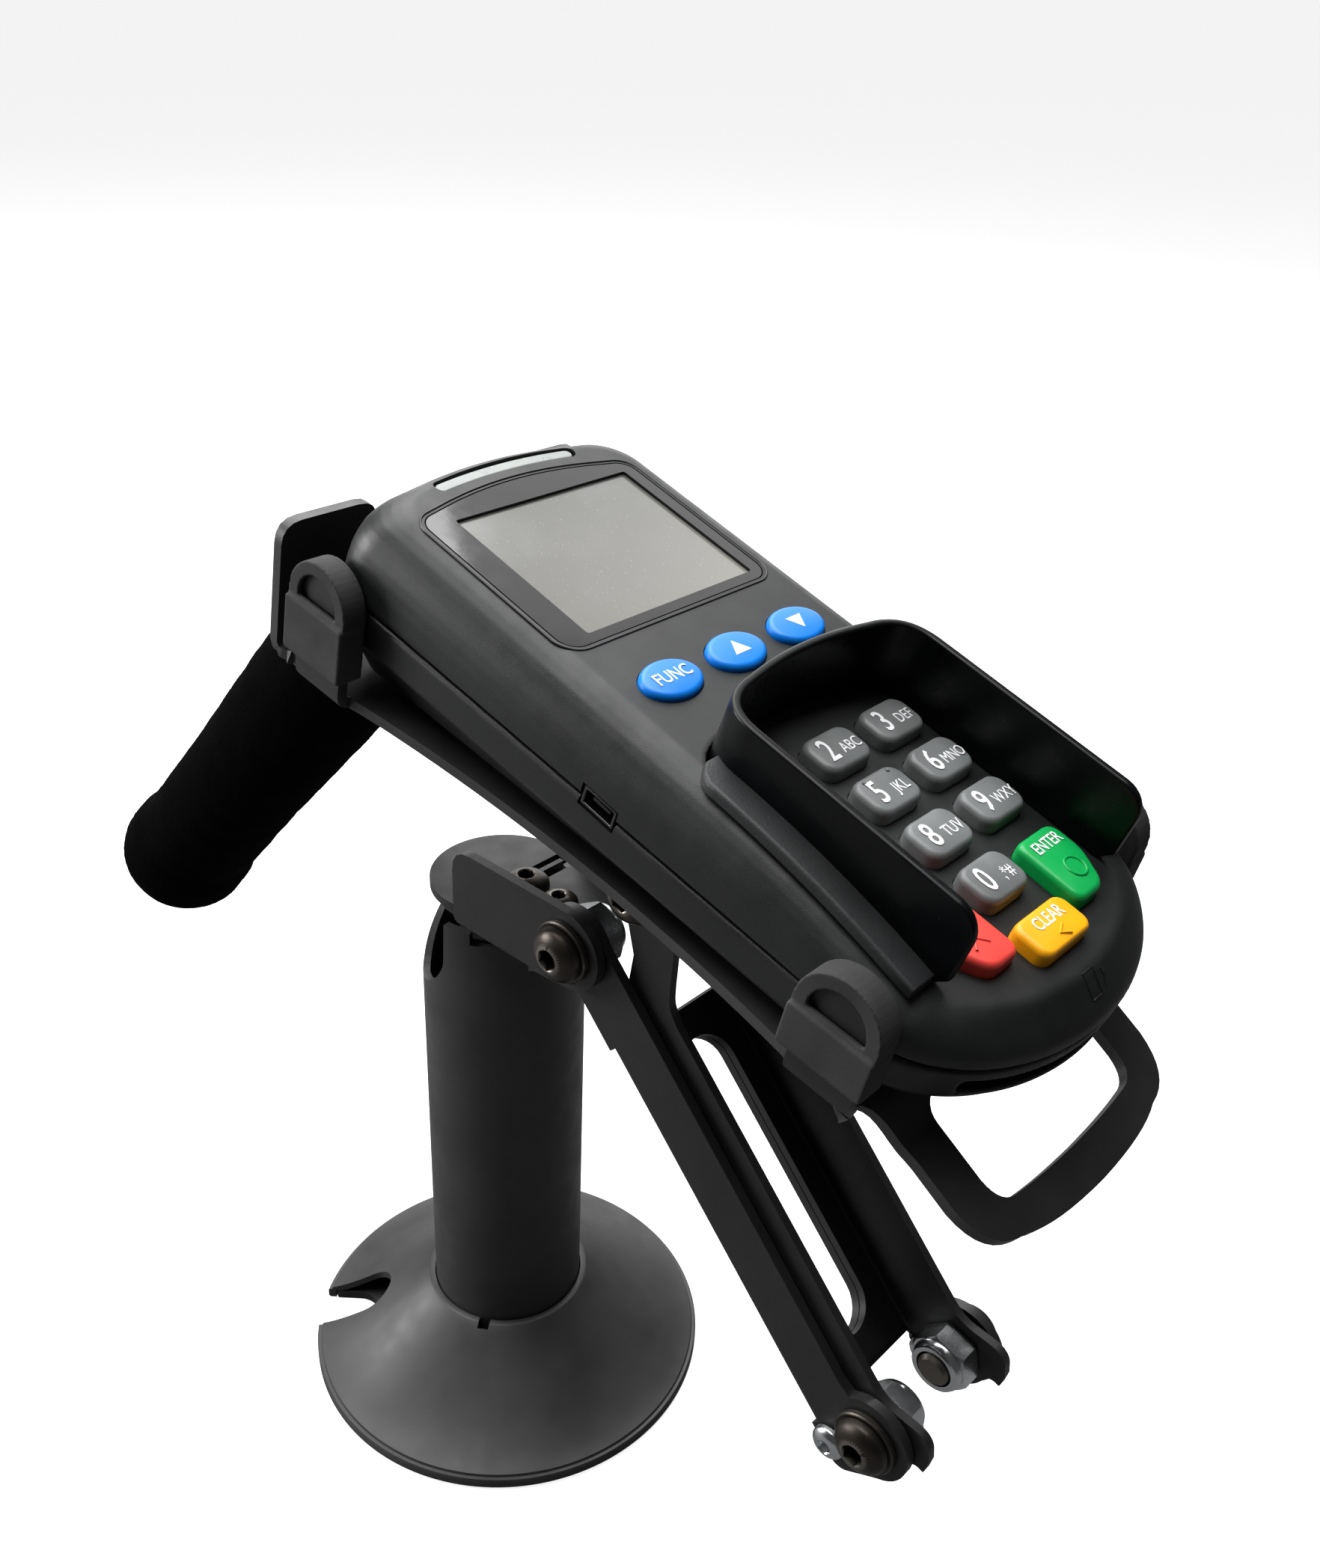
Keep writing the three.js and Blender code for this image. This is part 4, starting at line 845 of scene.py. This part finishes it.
def make_fasteners():
    # joint, local frame, pivot, outer face, body, bolt's tip, nut's seat and nut's depth
    sets = [
        ("shoulder", STAND, SHOULDER, BRACKET["half"] + 0.2, "swivel_head", 7, 15.9, 7.6),
        ("elbow", ARM, ELBOW, LOWER["outer"] + 0.2, "lower_link", 4.8, 13.3, 7.5),
        ("tilt", ARM, TILT, 18.5, "holder", 4.8, 13.3, 7.5),
    ]
    for joint, place, (y, z), face, body, tip, seat, depth in sets:
        for side_name, side in SIDES.items():
            name = f"{joint}_bolt_{side_name}"
            bolt = button_screw(f"{joint}_button_{side_name}", 6.4, 4.1, 2.6, 3.85, face - tip,
                                along_x(place, side, face, y, z), washer=1.5)
            settle(bolt, body, [LOOKS["black_steel"]], [name])
            nut = lock_nut(f"{joint}_lock_nut_{side_name}", along_x(place, -side, -seat, y, z), depth)
            settle(nut, body, [LOOKS["zinc"]], [f"{joint}_nut_{side_name}"])
    for side_name, side in SIDES.items():
        screw = button_screw(f"stop_button_{side_name}", 4, 2.6, 1.6, 2.5, LOWER["outer"] - 13.6 + 0.3,
                             along_x(ARM, side, LOWER["outer"] + 0.2, *STOP), threaded=False)
        settle(screw, "lower_link", [LOOKS["zinc"]], [f"stop_screw_{side_name}"])
    seat = (BRACKET["floor"] + BRACKET["sheet"] + 0.2) * MM
    swivel_screws = [("swivel_screw", -8, 5.6, 3.4, 2.1), ("swivel_lock_screw", -19, 4.6, 2.7, 1.7)]
    for name, y, head, height, socket in swivel_screws:
        screw = button_screw(name.replace("screw", "button"), head, height, socket, 2.9, 5.2,
                             Matrix.Translation((0, y * MM, seat)), threaded=False)
        settle(screw, "swivel_head", [LOOKS["black_steel"]], [name])


# ---------- rear grip ----------
def make_grip():
    place = TRAY @ Matrix.Translation((0, GRIP["y"] * MM, GRIP["z"] * MM)) @ Matrix.Rotation(
        math.radians(90 - GRIP["angle"]), 4, "X")
    length, radius, end = GRIP["length"], GRIP["radius"], GRIP["end"]
    segments, rows = 150, 230
    knots = [(-length, end - 5.5), (-length + 3, end - 1.6), (-length + 9, end), (-length + 15, end - 0.3),
             (-length + 26, radius - 0.2), (-length * 0.62, radius - 0.4), (-length * 0.3, radius + 0.2),
             (-GRIP["start"] - 3, radius + 0.4), (-GRIP["start"], radius - 1.2)]

    def radius_at(z):
        for (z0, r0), (z1, r1) in zip(knots, knots[1:]):
            if z <= z1:
                t = smoothstep(z, z0, z1) if r1 < r0 else math.sin((z - z0) / (z1 - z0) * math.pi / 2)
                return r0 + (r1 - r0) * t
        return knots[-1][1]

    rings = [circle(inner, -length, segments) for inner in (0.001, (end - 5.5) * 0.4, (end - 5.5) * 0.75)]
    for row in range(rows + 1):
        z = -length + (length - GRIP["start"]) * row / rows
        base = radius_at(z)
        ring = []
        for x, y, _ in circle(base, z, segments):
            fine, coarse = noise.noise(Vector((x, y, z)) * 0.9), noise.noise(Vector((x, y, z)) * 0.12)
            fuzz = fine * 0.16 + coarse * 0.25
            ring.append((x * (1 + fuzz / base), y * (1 + fuzz / base), z + fuzz * 0.3))
        rings.append(ring)
    for inner in ((GRIP["bore"] + radius) / 2, GRIP["bore"] + 0.4):
        rings.append(circle(inner, -GRIP["start"], segments))
    foam = smooth(loft("foam_sleeve", rings, place))
    settle(foam, "holder", [LOOKS["foam"]], ["foam_grip"])
    nut = lock_nut("grip_lock_nut", place @ Matrix.Translation((0, 0, 2.4 * MM)) @ Matrix.Scale(0.72, 4), 4.2)
    settle(nut, "holder", [LOOKS["zinc"]], ["grip_nut"])


# ---------- clip sleeves ----------
def make_sleeves():
    low, half, inside, outside = SLEEVE["low"], SLEEVE["half"], SLEEVE["inside"], SLEEVE["outside"]
    face = CLIP["inside"] + PLATE["sheet"]
    for end in ("front", "rear"):
        middle, tab_top = CLIP[end], TAB_TOP[end]
        high = tab_top + SLEEVE["cover"]
        sill, window_half = high - 9.6, 5.9

        def arch(h, peak, floor):
            return [(middle - h, floor), (middle + h, floor)] + arc(middle, peak - h, h, 0, 180, 20)

        for side_name, side in SIDES.items():
            def slab(name, outline, x0, x1):
                near = [(side * x0, y, z) for y, z in outline]
                far = [(side * x1, y, z) for y, z in outline]
                return loft(name, [near, far] if side > 0 else [far, near], TRAY)

            body = slab(f"sleeve_cap_{end}_{side_name}", arch(half, high, low), inside, outside)
            start, end_y = middle - half - 0.2, middle + half + 0.2
            band_outline = [(start, low), (end_y, low), (end_y, sill - 0.8), (start, sill - 0.8)]
            band = slab("band", round_corners(band_outline, 0.8), inside + 0.4, outside + 0.8)
            combine(body, [band], "UNION")
            pocket = slab("pocket", arch(CLIP["half"] + 0.3, tab_top + 0.3, low - 3),
                          CLIP["inside"] - 0.3, face + 0.3)
            window = slab("window", [(middle - window_half, sill), (middle + window_half, sill)]
                          + arc(middle, sill + 0.8, window_half, 0, 180, 20), face, outside + 3)
            combine(body, [pocket, window])
            soften(body, 0.3, 3, 0.5)
            settle(body, "holder", [LOOKS["rubber"]], [f"sleeve_{end}_{side_name}"])


# ---------- terminal ----------
def seam_at(v):
    return -13.8 - 0.043 * v


def floor_at(v):
    return -26.9 - 0.113 * v


def droop_at(v):
    return -0.0022 * max(15 - v, 0) ** 2


def deck_at(v):
    return DECK["level"] + DECK["slope"] * v


CASE_RINGS = [
    # share of the wall's height, inset at the sides, at the far end and at the near end
    (0.015, 0.9, 0.9, 0.9), (0.04, 0.25, 0.25, 0.25), (0.08, 0, 0, 0), (0.3, 0.12, 0.15, 0.5),
    (0.45, 0.45, 0.4, 1.5), (0.57, 0.95, 0.8, 2.6), (0.68, 1.7, 1.3, 3.7), (0.78, 2.8, 2.1, 4.7),
    (0.86, 4.1, 3.0, 5.5), (0.93, 5.8, 4.1, 6.2), (0.975, 7.4, 5.2, 6.8), (1.0, 8.9, 6.4, 7.8),
]
# The case's top closes in rings shrunk toward this v by these shares.
CASE_MIDDLE = 32
CLOSING_SCALES = (0.9, 0.8, 0.7, 0.6, 0.5, 0.4, 0.3, 0.2, 0.1, 0.03)
# The cable port's cutout on the left side.
SOCKET_BOX = ((-45, 27.9, -17.3), (-30, 37.1, -12.1))


def case_ring(side, far_inset, near_inset, height, scale=1.0):
    half, corner = CASE["half"] - side, CASE["corner"]
    far = CASE["far"] - far_inset
    points = (arc(0, CASE["near"], half, 180, 360, 60, CASE["depth"] - near_inset)
              + [(half, CASE["near"] + (far - corner - CASE["near"]) * k / 16) for k in range(1, 16)]
              + arc(half - corner, far - corner, corner, 0, 72, 10)
              + [(k * (half - corner), far + CASE["bulge"] * (1 - k * k))
                 for k in [0.75 - 0.125 * i for i in range(13)]]
              + arc(-half + corner, far - corner, corner, 108, 180, 10)
              + [(-half, far - corner + (CASE["near"] - far + corner) * k / 16) for k in range(1, 16)])
    placed = [(u * scale, CASE_MIDDLE + (v - CASE_MIDDLE) * scale) for u, v in points]
    return [(u, v, height(v)) for u, v in placed]


def crown_at(v):
    return max(1.5 + droop_at(v), deck_at(v) + 0.02)


def outline_prism(name, outline, low, high):
    return prism(name, outline, low, high, TERMINAL)


def lens_outline(grow):
    half, near, far = LENS["half"] + grow, LENS["near"] - grow, LENS["far"] + grow
    corner = LENS["corner"] + grow
    bow = [(k * (half - corner), far + LENS["bulge"] * (1 - k * k))
           for k in [0.85 - 0.1 * i for i in range(18)]]
    points = (arc(half - corner, near + corner, corner, -90, 0, 8)
              + arc(half - corner, far - corner, corner, 0, 76, 8)
              + bow + arc(-half + corner, far - corner, corner, 104, 180, 8)
              + arc(-half + corner, near + corner, corner, 180, 270, 8))
    return [(u + LENS["middle"], v) for u, v in points]


def bar_outline(grow):
    """A shallow curved bar with round ends."""
    radius, half, sweep = BAR["radius"], BAR["half"] + grow, BAR["sweep"]
    middle = BAR["middle"] - radius
    caps = []
    for sign in (1, -1):
        angle = 90 + sign * sweep
        (u, v), = arc(0, middle, radius, angle, angle, 1)[:1]
        start = angle if sign > 0 else angle - 180
        caps.append(arc(u, v, half, start, start + 180, 10))
    upper = arc(0, middle, radius + half, 90 - sweep, 90 + sweep, 24)
    lower = arc(0, middle, radius - half, 90 + sweep, 90 - sweep, 24)
    return upper[1:-1] + caps[0] + lower[1:-1] + caps[1]


def arch_outline(half, far, near):
    """The keypad well and its shield in plan: straight sides joined by a shallow arch at the far end."""
    corner = quadratic((half, far - 12), (half, far - 2.5), (half - 11, far - 1.2), 10)
    crest = quadratic((half - 11, far - 1.2), (0, far + 2.4), (-half + 11, far - 1.2), 16)
    other = quadratic((-half + 11, far - 1.2), (-half, far - 2.5), (-half, far - 12), 10)
    side = [(half, near + (far - 12 - near) * k / 14) for k in range(14)]
    return side + corner + crest[1:] + other[1:] + [(-x, y) for x, y in reversed(side)]


def make_upper_case():
    def wall(share):
        return lambda v: seam_at(v) + share * (crown_at(v) - seam_at(v))

    rings = [case_ring(side, far, near, wall(share)) for share, side, far, near in CASE_RINGS]
    _, side, far, near = CASE_RINGS[-1]
    rings += [case_ring(side, far, near, crown_at, scale) for scale in CLOSING_SCALES]
    case = loft("upper_case_shell", rings, TERMINAL)
    around = arch_outline(DECK["half"], DECK["far"], -FAR)
    deck = loft("deck", [[(u, v, deck_at(v)) for u, v in around], [(u, v, 20) for u, v in around]], TERMINAL)
    face_out(deck)
    combine(case, [deck])
    soften(case, 0.45, 4, 0.4)
    holes = [outline_prism("hole", outline(0.2), -9, 8) for _, outline, _, _ in key_table()]
    recess = outline_prism("recess", lens_outline(0.3), LENS["top"] - 1.6, 6)
    bar = outline_prism("bar", bar_outline(0.55), -0.9, 6)
    port = box("port", *SOCKET_BOX, TERMINAL)
    combine(case, [recess, bar, port] + holes)
    shade(case, 40)
    settle(case, "holder", [LOOKS["case"]], ["upper_case"])
    return case


def surface_finder(item):
    """Height of a piece's upper face at a point in its own frame, in millimetres."""
    tree = BVHTree.FromPolygons([v.co for v in item.data.vertices],
                                [tuple(p.vertices) for p in item.data.polygons])

    def height(u, v):
        hit = tree.ray_cast(Vector((u * MM, v * MM, 0.05)), Vector((0, 0, -1)))[0]
        return hit.z / MM
    return height


def make_card_mark(case):
    """Raised outline of a card and a chevron beside it on the near slope."""
    height = surface_finder(case)
    card = [(-1.6, -46.4), (1.6, -46.4), (1.6, -50.4), (-1.6, -50.4)]
    arrow = [(3.4, -47.2), (4.1, -48.6), (3.5, -50.0)]
    items = []
    for line, closed in ((card, True), (arrow, False)):
        dense = []
        ends = zip(line, line[1:] + line[:1]) if closed else zip(line, line[1:])
        for (u0, v0), (u1, v1) in ends:
            dense += [(u0 + (u1 - u0) * k / 5, v0 + (v1 - v0) * k / 5) for k in range(5)]
        if not closed:
            dense.append(line[-1])
        items.append(tube("mark", [(u, v, height(u, v)) for u, v in dense], 0.17, TERMINAL, closed=closed))
    settle(merge("card_mark", items), "holder", [LOOKS["rim"]])


def make_lower_case():
    def belly(v):
        return floor_at(v) + max(0.8, 1.2 + 0.062 * (v + 40))

    rings = [case_ring(10, 9, 9, floor_at, scale) for scale in (0.05, 0.5, 1.0)]
    rings += [
        case_ring(5.6, 5.2, 5.2, lambda v: floor_at(v) + 0.25 * (belly(v) - floor_at(v))),
        case_ring(2.6, 2.4, 2.4, lambda v: belly(v) - 0.3),
        case_ring(1.2, 1.2, 1.2, lambda v: belly(v) + 0.9),
        case_ring(0.5, 0.5, 0.5, lambda v: belly(v) + 2.2),
        case_ring(0.1, 0.1, 0.1, lambda v: seam_at(v) - 1.2),
        case_ring(0.25, 0.25, 0.25, lambda v: seam_at(v) - 0.6),
        case_ring(0.9, 0.9, 0.9, lambda v: seam_at(v) - 0.2),
    ]
    case = loft("lower_case_shell", rings, TERMINAL)
    mouth = box("mouth", (-28.5, -60, -17.6), (28.5, -44, -14.6), TERMINAL)
    combine(case, [mouth])
    soften(case, 0.45, 3, 0.4)
    port = box("port", *SOCKET_BOX, TERMINAL)
    combine(case, [port])
    settle(shade(case, 40), "holder", [LOOKS["lower_case"]], ["lower_case"])
    front = arc(0, CASE["near"], CASE["half"] - 0.9, 222, 318, 40, CASE["depth"] - 0.9)
    lip = [(u, v, -18.1) for u, v in front]
    settle(tube("card_slot_lip", lip, 0.6, TERMINAL), "holder", [LOOKS["lower_case"]])


def make_display():
    frame_piece = outline_prism("window_border", lens_outline(0), LENS["top"] - 1.4, LENS["top"] + 0.05)
    middle, half = (SCREEN["left"] + SCREEN["right"]) / 2, (SCREEN["right"] - SCREEN["left"]) / 2
    opening = [(u + middle, v) for u, v in rounded_box(half, SCREEN["near"], SCREEN["far"], 0.6, 3)]
    combine(frame_piece, [outline_prism("opening", opening, -4, 6)])
    bevel(frame_piece, 0.22, 2)
    settle(frame_piece, "holder", [LOOKS["window"]], ["display_lens"])
    area = [(u + middle, v)
            for u, v in rounded_box(half + 0.8, SCREEN["near"] - 0.8, SCREEN["far"] + 0.8, 0.4, 2)]
    panel = outline_prism("lcd_face", area, -0.5, LENS["top"] - 0.65)
    settle(shade(panel), "holder", [LOOKS["lcd"]], ["lcd_panel"])
    line = [(x, y, crown_at(y) - 0.02) for x, y in lens_outline(1.1)]
    rim = tube("window_line", line, 0.28, TERMINAL, closed=True)
    settle(rim, "holder", [LOOKS["rim"]])


def make_light_bar():
    bar = outline_prism("light_bar_lens", bar_outline(0), -0.5, 1.05)
    bevel(bar, 0.4, 3)
    settle(bar, "holder", [LOOKS["bar"]], ["light_bar"])


def make_shield():
    path = [Vector(p) for p in arch_outline(SHIELD["half"], SHIELD["far"], SHIELD["near"])]
    lengths = [0.0]
    for a, b in zip(path, path[1:]):
        lengths.append(lengths[-1] + (b - a).length)
    total = lengths[-1]

    def point_at(s):
        for i in range(len(path) - 1):
            if s <= lengths[i + 1] + 1e-6:
                t = (s - lengths[i]) / (lengths[i + 1] - lengths[i])
                return path[i].lerp(path[i + 1], t)
        return path[-1]

    low = [(s, deck_at(point_at(s).y) + 0.3) for s in lengths[1:-1]]
    corner = SHIELD["corner"]
    rim = SHIELD["rim"]
    near_low = deck_at(SHIELD["near"])
    outline = ([(2.5, near_low + 0.3)] + low + [(total - 2.5, near_low + 0.3), (total, near_low + 3)]
               + arc(total - corner, rim - corner, corner, 0, 90, 8)
               + arc(corner, rim - corner, corner, 90, 180, 8) + [(0, near_low + 3)])

    def fold(s, w):
        place = point_at(min(max(s, 0), total))
        return place.x, place.y, w

    wall = folded("shield_wall", [outline], lengths[1:-1], [], fold, SHIELD["wall"], TERMINAL, edge=0.55)
    settle(wall, "holder", [LOOKS["shield"], LOOKS["shield"]], ["privacy_shield"])
    make_ledges()


def make_ledges():
    """The flange at each side of the shield, lying along the case's shoulder."""
    inner, outer = SHIELD["half"] - 1.2, SHIELD["strip"] + 0.2
    stations = [20 - k * 2 for k in range(27)]
    for side_name, side in SIDES.items():
        rings = []
        for v in stations:
            rounding = max(0.0, (v - 15.5) / 4.5)
            edge = outer - 3.6 * rounding ** 2
            base = 1.15 + droop_at(v)
            top = base + 2.3
            section = [(inner, base), (edge, base), (edge, top - 0.7), (edge - 0.25, top - 0.2),
                       (edge - 0.8, top), (inner, top + 0.1)]
            rings.append([(side * u, v, w) for u, w in section])
        strip = loft(f"shield_ledge_{side_name}", rings if side < 0 else [r[::-1] for r in rings], TERMINAL)
        face_out(strip)
        settle(bevel(strip, 0.25, 2, 40), "holder", [LOOKS["ledge"]])


def face_out(item):
    mesh = bmesh.new()
    mesh.from_mesh(item.data)
    bmesh.ops.recalc_face_normals(mesh, faces=mesh.faces[:])
    mesh.to_mesh(item.data)
    mesh.free()


# ---------- keys ----------
def grown(points, centre):
    """Outline that grows or shrinks from its centre by a distance."""
    def outline(grow):
        result = []
        for u, v in points:
            away = Vector((u - centre[0], v - centre[1]))
            away *= 1 + grow / away.length
            result.append((centre[0] + away.x, centre[1] + away.y))
        return result
    return outline


def side_key(sign):
    corners = [(10.3, -22.1), (22.6, -22.1), (22.8, -30), (18.4, -37.6), (10, -37.6)]
    points = round_corners([(sign * u, v) for u, v in corners], 2.6, 6)
    return points if sign < 0 else points[::-1]


def digit_outline(u, v):
    half_u, half_v = KEYS["half_u"], KEYS["half_v"]
    return grown([(u + a, v + b) for a, b in rounded_box(half_u, -half_v, half_v, 3)], (u, v))


def key_table():
    """Name, outline, top height and look of every key."""
    rows = []
    for row in range(3):
        for column in range(3):
            outline = digit_outline((column - 1) * KEYS["pitch_u"], (1 - row) * KEYS["pitch_v"])
            rows.append((f"key_{row * 3 + column + 1}", outline, 0, "grey_key"))
    rows.append(("key_0", digit_outline(0, -2 * KEYS["pitch_v"]), 0, "grey_key"))
    rows.append(("key_clear", grown(rounded_box(7.8, -41.8, -33.4, 2.4), (0, -37.6)), -0.2, "yellow_key"))
    rows.append(("key_cancel", grown(side_key(-1), (-16.4, -29.6)), -0.2, "red_key"))
    rows.append(("key_enter", grown(side_key(1), (16.4, -29.6)), -0.2, "green_key"))
    for name, u in (("key_func", -18.35), ("key_up", 0), ("key_down", 18.35)):
        rows.append((name, grown(arc(u, 39.6, 7.2, 0, 352.5, 47, 5.1), (u, 39.6)), 3.2, "blue_key"))
    return rows


KEY_CROWN = 0.25


def middle_of(points):
    us = [p[0] for p in points]
    vs = [p[1] for p in points]
    return (min(us) + max(us)) / 2, (min(vs) + max(vs)) / 2


def make_keys():
    for name, outline, top, look in key_table():
        full = outline(0)
        centre = middle_of(full)
        rings = [[(u, v, KEYS["bottom"]) for u, v in full], [(u, v, top - 1.5) for u, v in full]]
        for angle in range(15, 91, 15):
            a = math.radians(angle)
            rings.append([(u, v, top - 1.3 + 1.3 * math.sin(a) - KEY_CROWN)
                          for u, v in outline(-1.2 * (1 - math.cos(a)))])
        edge = outline(-1.2)
        for scale in (0.85, 0.65, 0.45, 0.25, 0.08):
            rise = KEY_CROWN * (1 - scale * scale)
            rings.append([(centre[0] + (u - centre[0]) * scale, centre[1] + (v - centre[1]) * scale,
                           top - KEY_CROWN + rise) for u, v in edge])
        cap = loft(name + "_cap", rings, TERMINAL)
        face_out(cap)
        settle(shade(cap, 60), name, [LOOKS[look]], [name])


def lettering(text, size, u, v, w, weight=0.0, width=1.0):
    """Printed characters as a thin raised film."""
    curve = bpy.data.curves.new("lettering", "FONT")
    curve.body = text
    curve.size = size * MM
    curve.align_x = "CENTER"
    curve.align_y = "CENTER"
    curve.extrude = 0.05 * MM
    curve.offset = weight * MM
    curve.resolution_u = 3
    mesh = curve_mesh(curve)
    mesh.transform(Matrix.Translation((u * MM, v * MM, w * MM)) @ Matrix.Diagonal((width, 1, 1, 1)))
    return linked("lettering", mesh, TERMINAL)


LETTERS = {"1": "", "2": "ABC", "3": "DEF", "4": "GHI", "5": "JKL", "6": "MNO", "7": "PQRS", "8": "TUV",
           "9": "WXY", "0": ",*#"}
# Words on keys: text, size, shift along v and width.
WORDS = {"key_func": ("FUNC", 4.1, 0, 0.84), "key_clear": ("CLEAR", 3.6, 1.4, 0.8),
         "key_enter": ("ENTER", 3.6, 4.4, 0.78)}
ARROWS = {"key_up": 1, "key_down": -1}


def make_legends():
    for name, outline, top, look in key_table():
        u, v = middle_of(outline(0))
        w = top - 0.02
        items = []
        digit = name[4:]
        if digit in LETTERS:
            small = LETTERS[digit]
            items.append(lettering(digit, 7.6, u + (-3.0 if small else 0), v, w, 0.08, 0.74))
            if small:
                narrow = 0.78 if len(small) < 4 else 0.62
                items.append(lettering(small, 3.6, u + 2.5, v - 0.8, w, 0.0, narrow))
        elif name in ARROWS:
            turn = ARROWS[name]
            points = [(u - 2.2, v - 1.6 * turn), (u + 2.2, v - 1.6 * turn), (u, v + 2.0 * turn)]
            items.append(prism("arrow", points if turn > 0 else points[::-1], w - 0.1, w + 0.04, TERMINAL))
        elif name in WORDS:
            text, size, shift, width = WORDS[name]
            items.append(lettering(text, size, u, v + shift, w, 0.03, width))
        if items:
            settle(merge(name + "_print", items), name, [LOOKS["print"]])


def make_raised_marks():
    """Raised marks in the keys' own plastic: dots, cross, arrow head and ring."""
    table = {name: (middle_of(outline(0)), top, look) for name, outline, top, look in key_table()}
    (u, v), top, _ = table["key_5"]
    dots = [revolve("dot", [(0, -0.3), (0.5, -0.3), (0.45, 0.1), (0.3, 0.3), (0, 0.36)],
                    TERMINAL @ Matrix.Translation(((u + a) * MM, (v + 3.2) * MM, (top - 0.2) * MM)), 16)
            for a in (-3.6, 3.6)]
    for side_name, dot in zip(("left", "right"), dots):
        dot.name = f"key_5_dot_{side_name}"
        settle(shade(dot), "key_5", [LOOKS["grey_key"]])
    (u, v), top, look = table["key_cancel"]
    strokes = [tube("stroke", [(u - 2, v - 1.4 - s * 2, top - 0.05), (u + 2, v - 1.4 + s * 2, top - 0.05)],
                    0.3, TERMINAL) for s in (1, -1)]
    settle(merge("key_cancel_mark", strokes), "key_cancel", [LOOKS[look]])
    (u, v), top, look = table["key_clear"]
    arrow = tube("key_clear_mark", [(u + 1.1, v - 0.8, top - 0.05), (u - 1.1, v - 1.9, top - 0.05),
                                    (u + 1.1, v - 3.0, top - 0.05)], 0.26, TERMINAL)
    settle(arrow, "key_clear", [LOOKS[look]])
    (u, v), top, look = table["key_enter"]
    ring = tube("key_enter_mark", [(a, b, top - 0.05) for a, b in arc(u, v - 2, 2.2, 0, 345, 23)], 0.28,
                TERMINAL, closed=True)
    settle(ring, "key_enter", [LOOKS[look]])


def make_port():
    shell = box("port_shell", (-38.3, 28.4, -16.8), (-30.5, 36.6, -12.6), TERMINAL)
    mouth = box("mouth", (-40, 29, -16.2), (-32, 36, -13.2), TERMINAL)
    combine(shell, [mouth])
    bevel(shell, 0.2, 2)
    settle(shell, "holder", [LOOKS["port"]], ["usb_port"])
    tongue = box("port_tongue", (-37.4, 30.2, -15.1), (-31.5, 34.8, -14.3), TERMINAL)
    bevel(tongue, 0.15, 2)
    settle(tongue, "holder", [LOOKS["socket"]])


# ---------- stage ----------
def make_stage():
    reach = 40
    mesh = bpy.data.meshes.new("floor")
    corners = [(-reach, -reach, 0), (reach, -reach, 0), (reach, reach, 0), (-reach, reach, 0)]
    mesh.from_pydata(corners, [], [(0, 1, 2, 3)])
    floor = linked("floor", mesh, Matrix.Translation((0, 0, -0.0002)))
    material, tree, shader = shaded("floor")
    set_inputs(shader, {"Roughness": 0.8, "Emission Color": (1, 1, 1, 1)})
    path = tree.nodes.new("ShaderNodeLightPath")
    tone = mix_colours(tree, path, "Is Camera Ray", (0.12, 0.12, 0.12), (0.5, 0.5, 0.5))
    tree.links.new(tone.outputs[2], shader.inputs["Base Color"])
    lift = range_node(tree, path, "Is Camera Ray", 0, 1, 0, 0.86)
    link(tree, lift, "Result", shader, "Emission Strength")
    mesh.materials.append(material)
    world = bpy.data.worlds.new("studio")
    world.use_nodes = True
    background = world.node_tree.nodes["Background"]
    background.inputs["Color"].default_value = (1, 1, 1, 1)
    path = world.node_tree.nodes.new("ShaderNodeLightPath")
    strength = range_node(world.node_tree, path, "Is Camera Ray", 0, 1, 0.06, 1.05)
    link(world.node_tree, strength, "Result", background, "Strength")
    bpy.context.scene.world = world
    lamps = [("top", (0.05, 0.3, 1.2), 1.3, 32), ("back", (1.0, 0.9, 0.75), 1.5, 14),
             ("left", (-0.75, 1.1, 0.5), 0.6, 16)]
    target = Vector((0, -0.02, 0.15))
    for name, position, size, power in lamps:
        lamp = bpy.data.lights.new(name, "AREA")
        lamp.size = size
        lamp.energy = power
        holder = linked(name, lamp)
        holder.location = position
        holder.rotation_mode = "QUATERNION"
        holder.rotation_quaternion = (Vector(position) - target).to_track_quat("Z", "Y")
    bpy.context.scene.view_settings.view_transform = "Standard"


# Azimuth, elevation and roll in degrees, focal length in millimetres and place in metres.
CAMERA = {"angles": (-48.889, 29.197, 2.621), "lens": 34.84, "place": (-0.2066, -0.22875, 0.35172)}


def make_camera():
    azimuth, elevation, roll = [math.radians(angle) for angle in CAMERA["angles"]]
    back = Vector((math.sin(azimuth) * math.cos(elevation), -math.cos(azimuth) * math.cos(elevation),
                   math.sin(elevation)))
    right = Vector((math.cos(azimuth), math.sin(azimuth), 0))
    up = back.cross(right)
    rolled_right = right * math.cos(roll) + up * math.sin(roll)
    rolled_up = up * math.cos(roll) - right * math.sin(roll)
    camera = bpy.data.cameras.new("camera")
    camera.sensor_width = 36
    camera.lens = CAMERA["lens"]
    camera.clip_start = 0.01
    camera.clip_end = 200
    place = Matrix((rolled_right, rolled_up, back)).transposed().to_4x4()
    place.translation = Vector(CAMERA["place"])
    bpy.context.scene.camera = linked("camera", camera, place)


make_base()
make_pole()
make_cap()
make_lower_arm()
make_upper_arm()
make_swivel_bracket()
make_tray_bracket()
make_tray()
make_fasteners()
make_grip()
make_sleeves()
make_card_mark(make_upper_case())
make_lower_case()
make_display()
make_light_bar()
make_shield()
make_keys()
make_legends()
make_raised_marks()
make_port()
make_stage()
make_camera()
